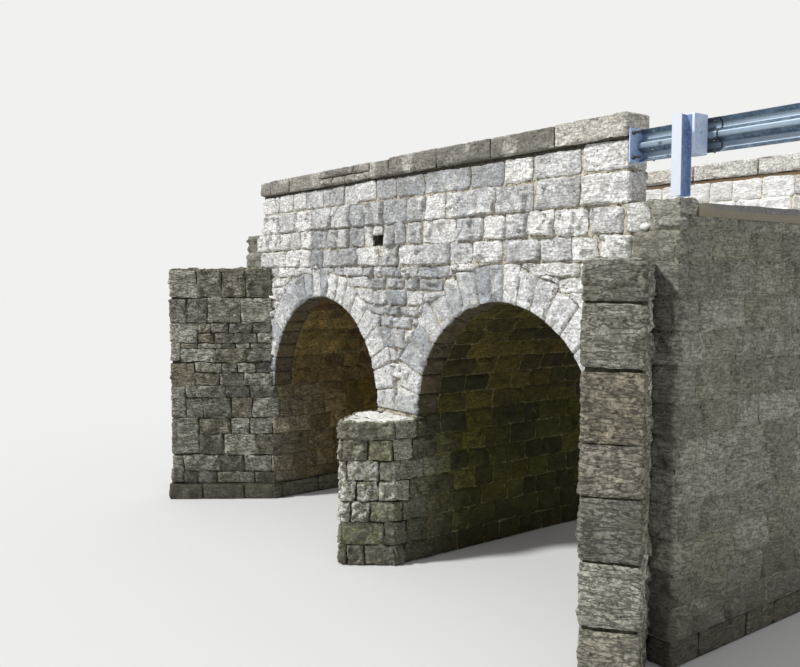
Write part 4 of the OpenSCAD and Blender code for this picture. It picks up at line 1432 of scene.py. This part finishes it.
# Guardrail: hot-dip galvanised steel
rail = {
    "backY": -1.94, "midZ": 4.95, "steel": 0.003, "bend": 0.020, "nest": 0.0078, "cell": 0.045,
    "ripple": 0.0012,
    "section": [(0.0, 0.025), (0.080, 0.0625), (0.080, 0.1155), (0.025, 0.1545)],   # half: depth, height
    "near": (3.772, 4.620), "far": (4.300, 6.5245), "posts": (4.460, 6.365),
    "slotX": 0.108,       # slots stand this far each side of a post's bolt
    "nearSlots": (4.027,),
    "slotR": 0.0115, "holeR": 0.0095, "holeLong": 2.6, "drill": 0.02,
    # nuts, shanks and bolt heads: radius and length
    "slotNut": (0.0155, 0.012), "slotShank": (0.008, 0.014), "head": (0.017, 0.008),
    "nut": (0.018, 0.013), "shank": (0.008, 0.016), "nutBevel": 0.002,
}
zinc = {   # weathered zinc: dull blue-grey with a faint spangle, whiter where it has bloomed
    # the paler colour of each is painted sunlight on the faces that look upstream, and on a post's outer
    # flange
    "rail": {"light": "#80909f", "dark": "#4f5d69", "bloom": "#a3b2bf", "sunlitPaint": "#8f9eac",
             "metallic": 0.7, "rough": 0.45, "lapX": 4.6265},
    # the post's blue is partly painted reflection of the sky
    "post": {"light": "#7f95bd", "dark": "#647aa4", "bloom": "#93a7cd", "sunlitPaint": "#d4d8de",
             "metallic": 0.15, "rough": 0.5, "outerY": (-2.2805, -2.2815)},
    # the plate's pale blue is painted reflection of the sky
    "plate": {"light": "#b4cdf5", "dark": "#98b3e0", "bloom": "#bfd2f0", "sunlitPaint": "#c2d2ec",
              "metallic": 0.15, "rough": 0.45},
    "block": {"light": "#c5d4ec", "dark": "#b0c1dd", "bloom": "#d4dff0", "sunlitPaint": "#d6e0ee",
              "metallic": 0.05, "rough": 0.55},
    "anchor": {"light": "#5b5f66", "dark": "#34373c", "bloom": "#6f5546", "sunlitPaint": "#5b5f66",
               "metallic": 0.8, "rough": 0.55},
}


def zincMaterial(name, look):
    # Steel dipped in molten zinc: crystals of 10 to 25 mm, some lighter and some darker, under a dull bloom
    material, tree = newMaterial(name)
    spot = addNode(tree, "TexCoord").outputs["Object"]
    spangle = addNode(tree, "TexVoronoi", {"Scale": 1000 / 18}, {"Vector": spot}).outputs["Color"]
    shade = addNode(tree, "SeparateXYZ", None, {0: spangle}).outputs[0]
    bloom = addNode(tree, "TexNoise", {"Scale": 1000 / 130, "Detail": 7.0, "Roughness": 0.7},
                    {"Vector": spot})
    wipe = addNode(tree, "MapRange", {"From Min": 0.5, "From Max": 0.68, "To Max": 0.7},
                   {"Value": bloom.outputs["Fac"]})
    colour = addNode(tree, "Mix", {"data_type": "RGBA", 6: linear(look["dark"]), 7: linear(look["light"])},
                     {0: shade})
    colour = addNode(tree, "Mix", {"data_type": "RGBA", 7: linear(look["bloom"])},
                     {0: wipe.outputs[0], 6: colour.outputs[2]})
    # painted sunlight: the side that faces the sun, upstream, is painted whiter
    facing = spot if "outerY" in look else addNode(tree, "NewGeometry").outputs["True Normal"]
    facing = addNode(tree, "SeparateXYZ", None, {0: facing}).outputs[1]
    start, end = look.get("outerY", (-0.5, -0.9))      # on a post only the outer flange sees the sun
    sunny = addNode(tree, "MapRange", {"From Min": start, "From Max": end, "To Max": 0.85},
                    {"Value": facing})
    colour = addNode(tree, "Mix", {"data_type": "RGBA", 7: linear(look["sunlitPaint"])},
                     {0: sunny.outputs[0], 6: colour.outputs[2]})
    if "lapX" in look:      # a dark line 10 mm wide along the lap of the two lengths: painted shadow of the gap between them, and dirt that rain leaves
        side = addNode(tree, "SeparateXYZ", None, {0: spot}).outputs[0]
        away = addNode(tree, "Math", {"operation": "SUBTRACT", 1: look["lapX"]}, {0: side}).outputs[0]
        away = addNode(tree, "Math", {"operation": "ABSOLUTE"}, {0: away}).outputs[0]
        dirtAndShade = addNode(tree, "MapRange", {"From Min": 0.006, "From Max": 0.004, "To Max": 0.92},
                       {"Value": away})
        colour = addNode(tree, "Mix", {"data_type": "RGBA", 7: linear("#1b2025")},
                         {0: dirtAndShade.outputs[0], 6: colour.outputs[2]})
    rough = addNode(tree, "MapRange", {"From Min": 0.3, "From Max": 0.7, "To Min": look["rough"] - 0.08,
                                       "To Max": look["rough"] + 0.16}, {"Value": bloom.outputs["Fac"]})
    bump = addNode(tree, "Bump", {"Strength": 0.25, "Distance": 0.004}, {"Height": bloom.outputs["Fac"]})
    shader = addNode(tree, "BsdfPrincipled", {"Metallic": look["metallic"]},
                     {"Base Color": colour.outputs[2], "Roughness": rough.outputs[0],
                      "Normal": bump.outputs[0]})
    addNode(tree, "OutputMaterial", None, {"Surface": shader.outputs[0]})
    return material


zincs = {key: zincMaterial(key + "Zinc", look) for key, look in zinc.items()}


def railLine(look):
    # the W section's middle line with round bends, as depths and heights
    corners = [Vector((d, -h)) for d, h in reversed(look["section"])] + [Vector(p) for p in look["section"]]
    line = [corners[0]]
    for before, here, after in zip(corners, corners[1:], corners[2:]):
        back, ahead = (before - here).normalized(), (after - here).normalized()
        half = back.angle(ahead) / 2
        reach = min(look["bend"] / math.tan(half),
                    0.45 * min((before - here).length, (after - here).length))
        radius = reach * math.tan(half)
        centre = here + (back + ahead).normalized() * radius / math.sin(half)
        start, end = here + back * reach - centre, here + ahead * reach - centre
        line += [centre + start.lerp(end, i / 5).normalized() * radius for i in range(6)]
    return line + [corners[-1]]


def slotSpots(look, x, step):
    # the eight slots round a bolt, on the rail's flanks: place and the way the flank looks
    spots = []
    for shift in (-look["slotX"], look["slotX"]):
        for side in (-1, 1):
            for (d0, h0), (d1, h1) in (look["section"][0:2], look["section"][2:4]):
                way = Vector((0, -(h1 - h0), (d1 - d0) * side)).normalized()
                y = look["backY"] + look["steel"] / 2 + (d0 + d1) / 2
                z = look["midZ"] + side * (h0 + h1) / 2
                spots.append((Vector((x + shift, y, z)) + Vector((0, step, 0)), way))
    return spots


def addRod(body, spot, way, radius, length, sides=16, flat=0.0):
    # a straight rod or, with six sides, a nut or bolt head, standing on spot and pointing along way
    made = bmesh.ops.create_cone(body, cap_ends=True, segments=sides, radius1=radius, radius2=radius,
                                 depth=length)["verts"]
    if flat:
        whole = set(made)
        rim = {e for v in made if v.co.z > 0 for e in v.link_edges if all(w.co.z > 0 for w in e.verts)}
        faces = bevelEdges(body, list(rim), flat, 2)["faces"]
        made = [v for v in whole | {v for f in faces for v in f.verts} if v.is_valid]
    turn = wayZ.rotation_difference(way).to_matrix().to_4x4()
    bmesh.ops.transform(body, verts=made,
                        matrix=Matrix.Translation(spot) @ turn @ Matrix.Translation((0, 0, length / 2)))


def drilled(body, cutter):
    # takes the cutter's solids out of the body and gives the body back as it is then
    meshes = [bpy.data.meshes.new(name) for name in ("drilled", "cutter")]
    objects = []
    for mesh, shape in zip(meshes, (body, cutter)):
        turnOutwards(shape)
        shape.to_mesh(mesh)
        shape.free()
        objects.append(bpy.data.objects.new(mesh.name, mesh))
        scene.collection.objects.link(objects[-1])
    cut = objects[0].modifiers.new("holes", "BOOLEAN")
    cut.object = objects[1]
    cut.operation = "DIFFERENCE"
    cut.solver = "EXACT"
    bpy.context.view_layer.update()
    done = bpy.data.meshes.new_from_object(objects[0].evaluated_get(bpy.context.evaluated_depsgraph_get()))
    result = bmesh.new()
    result.from_mesh(done)
    for thing in objects:
        bpy.data.objects.remove(thing)
    for mesh in meshes + [done]:
        bpy.data.meshes.remove(mesh)
    return result


def closeSteel(node, name, body, finish):
    # the guardrail's pieces are shaded smooth, up to the angle that counts as sharp
    for face in body.faces:
        face.smooth = True
    closePiece(node, name, body, [finish], 32)


def buildRail(node, name, span, step, slotColumns, bolted, look):
    start, end = span
    body = bmesh.new()
    line = [body.verts.new((start, look["backY"] + look["steel"] / 2 + step + p.x, look["midZ"] + p.y))
            for p in railLine(look)]
    edges = [body.edges.new(pair) for pair in zip(line, line[1:])]
    cells = round((end - start) / look["cell"])
    for _ in range(cells):
        made = bmesh.ops.extrude_edge_only(body, edges=edges)["geom"]
        bmesh.ops.translate(body, vec=((end - start) / cells, 0, 0), verts=vertsOf(made))
        edges = edgesOf(made)
    for vert in body.verts:      # a rail that has been leaned on is never quite straight
        vert.co.y += look["ripple"] * noise.noise(Vector((vert.co.x * 5, vert.co.z * 9, step * 900)))
    bmesh.ops.recalc_face_normals(body, faces=body.faces[:])
    bmesh.ops.solidify(body, geom=body.faces[:], thickness=look["steel"])
    cutter = bmesh.new()
    drill = look["drill"]
    for x in slotColumns:
        for spot, way in slotSpots(look, x, step):
            addRod(cutter, spot - way * drill, way, look["slotR"], 2 * drill, 12)
        made = len(cutter.verts)
        addRod(cutter, Vector((x, look["backY"] - drill + step, look["midZ"])), wayY, look["holeR"], 0.05,
               12)
        bmesh.ops.scale(cutter, vec=(look["holeLong"], 1, 1), space=Matrix.Translation((-x, 0, 0)),
                        verts=cutter.verts[made:])
    body = drilled(body, cutter)
    for x in bolted:
        for spot, way in slotSpots(look, x, step):
            addRod(body, spot - way * 0.004, -way, *look["slotNut"], 6, look["nutBevel"])
            addRod(body, spot - way * 0.012, -way, *look["slotShank"], 12)
    for x in slotColumns:
        foot = Vector((x, look["backY"] + look["steel"] + step, look["midZ"]))
        addRod(body, foot, wayY, *look["head"], 16, 0.004)
        if x in look["nearSlots"]:
            addRod(body, foot - wayY * look["steel"], -wayY, *look["nut"], 6, look["nutBevel"])
            addRod(body, foot - wayY * (look["steel"] + look["nut"][1]), -wayY, *look["shank"], 12)
    turnOutwards(body)
    closeSteel(node, name, body, zincs["rail"])


post = {
    "wide": 0.100, "deep": 0.150, "steel": 0.006, "fillet": 0.009, "arris": 0.0012,
    "foot": 4.400, "top": 5.116, "nearY": -2.290,
    "holes": (4.958, 4.838), "holeX": 0.029, "holeR": 0.0095,     # in the flange at the rail
    "webHoleR": 0.009, "webHoleAt": 0.62,                         # share of the post's depth
    "nut": (0.0165, 0.013), "shank": (0.008, 0.020),              # radius and length
}


def uprights(shape):
    return [e for e in shape.edges if abs(e.verts[0].co.z - e.verts[1].co.z) > 0.1]


def buildPosts(look):
    body = bmesh.new()
    half, steel, deep = look["wide"] / 2, look["steel"], look["deep"]
    for index, x in enumerate(rail["posts"]):
        shape = bmesh.new()
        quarter = [(-half, 0), (half, 0), (half, steel), (steel / 2, steel)]
        outline = quarter + [(a, deep - b) for a, b in reversed(quarter[1:])]
        outline += [(-half, deep), (-half, deep - steel), (-steel / 2, deep - steel), (-steel / 2, steel),
                    (-half, steel)]
        face = shape.faces.new([shape.verts.new((a, b, 0)) for a, b in outline])
        made = bmesh.ops.extrude_face_region(shape, geom=[face])["geom"]
        bmesh.ops.translate(shape, vec=(0, 0, look["top"] - look["foot"]), verts=vertsOf(made))
        inner = [e for e in uprights(shape) if abs(e.verts[0].co.x) < steel]
        bevelEdges(shape, inner, look["fillet"], 4)
        outer = [e for e in uprights(shape) if abs(e.verts[0].co.x) > half - 0.001]
        bevelEdges(shape, outer, look["arris"], 2)
        y = look["nearY"] + (rail["nest"] if index else 0.0)
        bmesh.ops.translate(shape, vec=(x, y, look["foot"]), verts=shape.verts[:])
        cutter = bmesh.new()
        for z in look["holes"]:
            for shift in (-look["holeX"], look["holeX"]):
                addRod(cutter, Vector((x + shift, y + deep - 0.02, z)), wayY, look["holeR"], 0.04, 12)
            addRod(cutter, Vector((x - 0.03, y + deep * look["webHoleAt"], z)), wayX, look["webHoleR"],
                   0.06, 12)
        shape = drilled(shape, cutter)
        foot = Vector((x + look["holeX"], y + deep - steel, look["holes"][0]))
        addRod(shape, foot, -wayY, *look["nut"], 6, rail["nutBevel"])
        addRod(shape, foot - wayY * look["nut"][1], -wayY, *look["shank"], 12)
        addShape(body, shape)
    turnOutwards(body)
    closeSteel("rail_posts", "rail_posts_rolled", body, zincs["post"])


block = {
    "low": (-0.075, -2.140, 4.772), "high": (0.075, -1.940, 5.128), "bevel": 0.005,
    "grooves": (0.014, 0.032), "grooveWide": 0.007, "grooveDeep": 0.005,
    "slot": 0.008, "slotLong": 3.2, "slotTurn": 38, "slotAt": (-2.035, 4.969),
    "hole": 0.008, "holeAt": (-2.072, 4.823), "drill": 0.012,
}


def buildBlocks(look):
    body = bmesh.new()
    for index, x in enumerate(rail["posts"]):
        step = rail["nest"] if index else 0.0
        low, high = Vector(look["low"]), Vector(look["high"])
        shape = bmesh.new()
        addBox(shape, high - low, (low + high) / 2)
        bevelEdges(shape, shape.edges[:], look["bevel"], 3)
        cutter = bmesh.new()
        for side in (-1, 1):      # two fine grooves down each side, near the post
            out, start = Vector((side, 0, 0)), side * (high.x - look["drill"])
            for groove in look["grooves"]:
                addBox(cutter, (2 * look["grooveDeep"], look["grooveWide"], 0.5),
                       (side * high.x, low.y + groove, (low.z + high.z) / 2))
            made = len(cutter.verts)
            addRod(cutter, Vector((start, 0, 0)), out, look["slot"], 0.03, 12)
            slot = cutter.verts[made:]
            bmesh.ops.scale(cutter, vec=(1, look["slotLong"], 1), verts=slot)
            bmesh.ops.rotate(cutter, cent=(0, 0, 0), verts=slot,
                             matrix=Matrix.Rotation(math.radians(look["slotTurn"]), 3, "X"))
            bmesh.ops.translate(cutter, vec=(0, *look["slotAt"]), verts=slot)
            addRod(cutter, Vector((start, *look["holeAt"])), out, look["hole"], 0.03, 12)
        shape = drilled(shape, cutter)
        bmesh.ops.translate(shape, vec=(x, step, 0), verts=shape.verts[:])
        addShape(body, shape)
    turnOutwards(body)
    closeSteel("rail_blocks", "rail_blocks_grooved", body, zincs["block"])


plate = {"corner": 0.012, "arris": 0.0018}
anchors = {
    "z": (4.8325, 5.0675), "y": -2.005, "rod": 0.012, "long": 0.090, "thread": 0.003, "root": 0.86,
    "washer": 0.003, "nut": 0.020, "nutHigh": 0.020,
}


plateLow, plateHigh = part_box("rail_end_plate")


def buildPlate(look):
    body = bmesh.new()
    addBox(body, plateHigh - plateLow, (plateLow + plateHigh) / 2)
    corners = [e for e in body.edges if abs(e.verts[0].co.x - e.verts[1].co.x) > 0.005]
    bevelEdges(body, corners, look["corner"], 5)
    rims = [e for e in body.edges if e.calc_face_angle(0) > 1.0]
    bevelEdges(body, rims, look["arris"], 2)
    closeSteel("rail_end_plate", "rail_end_plate_cut", body, zincs["plate"])


def buildAnchors(look):
    bolts = bmesh.new()
    for z in look["z"]:
        foot = Vector((plateHigh.x, look["y"], z))
        ends = [(0.0, 0.0), (0.0, look["rod"])]
        for turn in range(int((look["long"] - 0.004) / look["thread"])):       # thread, as ridges
            ends += [((turn + 0.5) * look["thread"], look["rod"]),
                     ((turn + 1.0) * look["thread"], look["rod"] * look["root"])]
        ends += [(look["long"], look["rod"] * 0.7), (look["long"], 0.0)]
        line = [bolts.verts.new(foot + Vector((x, r, 0))) for x, r in ends]
        edges = [bolts.edges.new(pair) for pair in zip(line, line[1:])]
        bmesh.ops.spin(bolts, geom=line + edges, cent=foot, axis=(1, 0, 0), dvec=(0, 0, 0),
                       angle=2 * math.pi, steps=18, use_merge=True, use_duplicate=False)
        addRod(bolts, foot, wayX, look["nut"] * 0.98, look["washer"], 24, 0.0008)
        addRod(bolts, foot + wayX * look["washer"], wayX, look["nut"], look["nutHigh"] - look["washer"], 6,
               rail["nutBevel"])
    bmesh.ops.remove_doubles(bolts, verts=bolts.verts[:], dist=0.00001)
    turnOutwards(bolts)
    closeSteel("rail_anchor_bolts", "rail_anchor_bolts_threaded", bolts, zincs["anchor"])


nearBolts = (*rail["nearSlots"], rail["posts"][0])
buildRail("rail_near_length", "rail_near_length_w", rail["near"], 0.0, nearBolts, nearBolts, rail)
buildRail("rail_far_length", "rail_far_length_w", rail["far"], rail["nest"], rail["posts"], (), rail)
buildPosts(post)
buildBlocks(block)
buildPlate(plate)
buildAnchors(anchors)
print("guardrail is built")

# The fill between the walls is hidden; it keeps its own shape and looks like rubble and earth
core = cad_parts["core_fill"].data
core.materials.clear()
core.materials.append(mortarMaterial("rubbleAndEarth", {
    "dark": "#4a3f2e", "mid": "#6a5b45", "light": "#8b7c63", "hole": "#2c251a", "grain": "#a09480",
    "share": 0.8}))

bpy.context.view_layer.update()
bpy.data.meshes.remove(carrier)
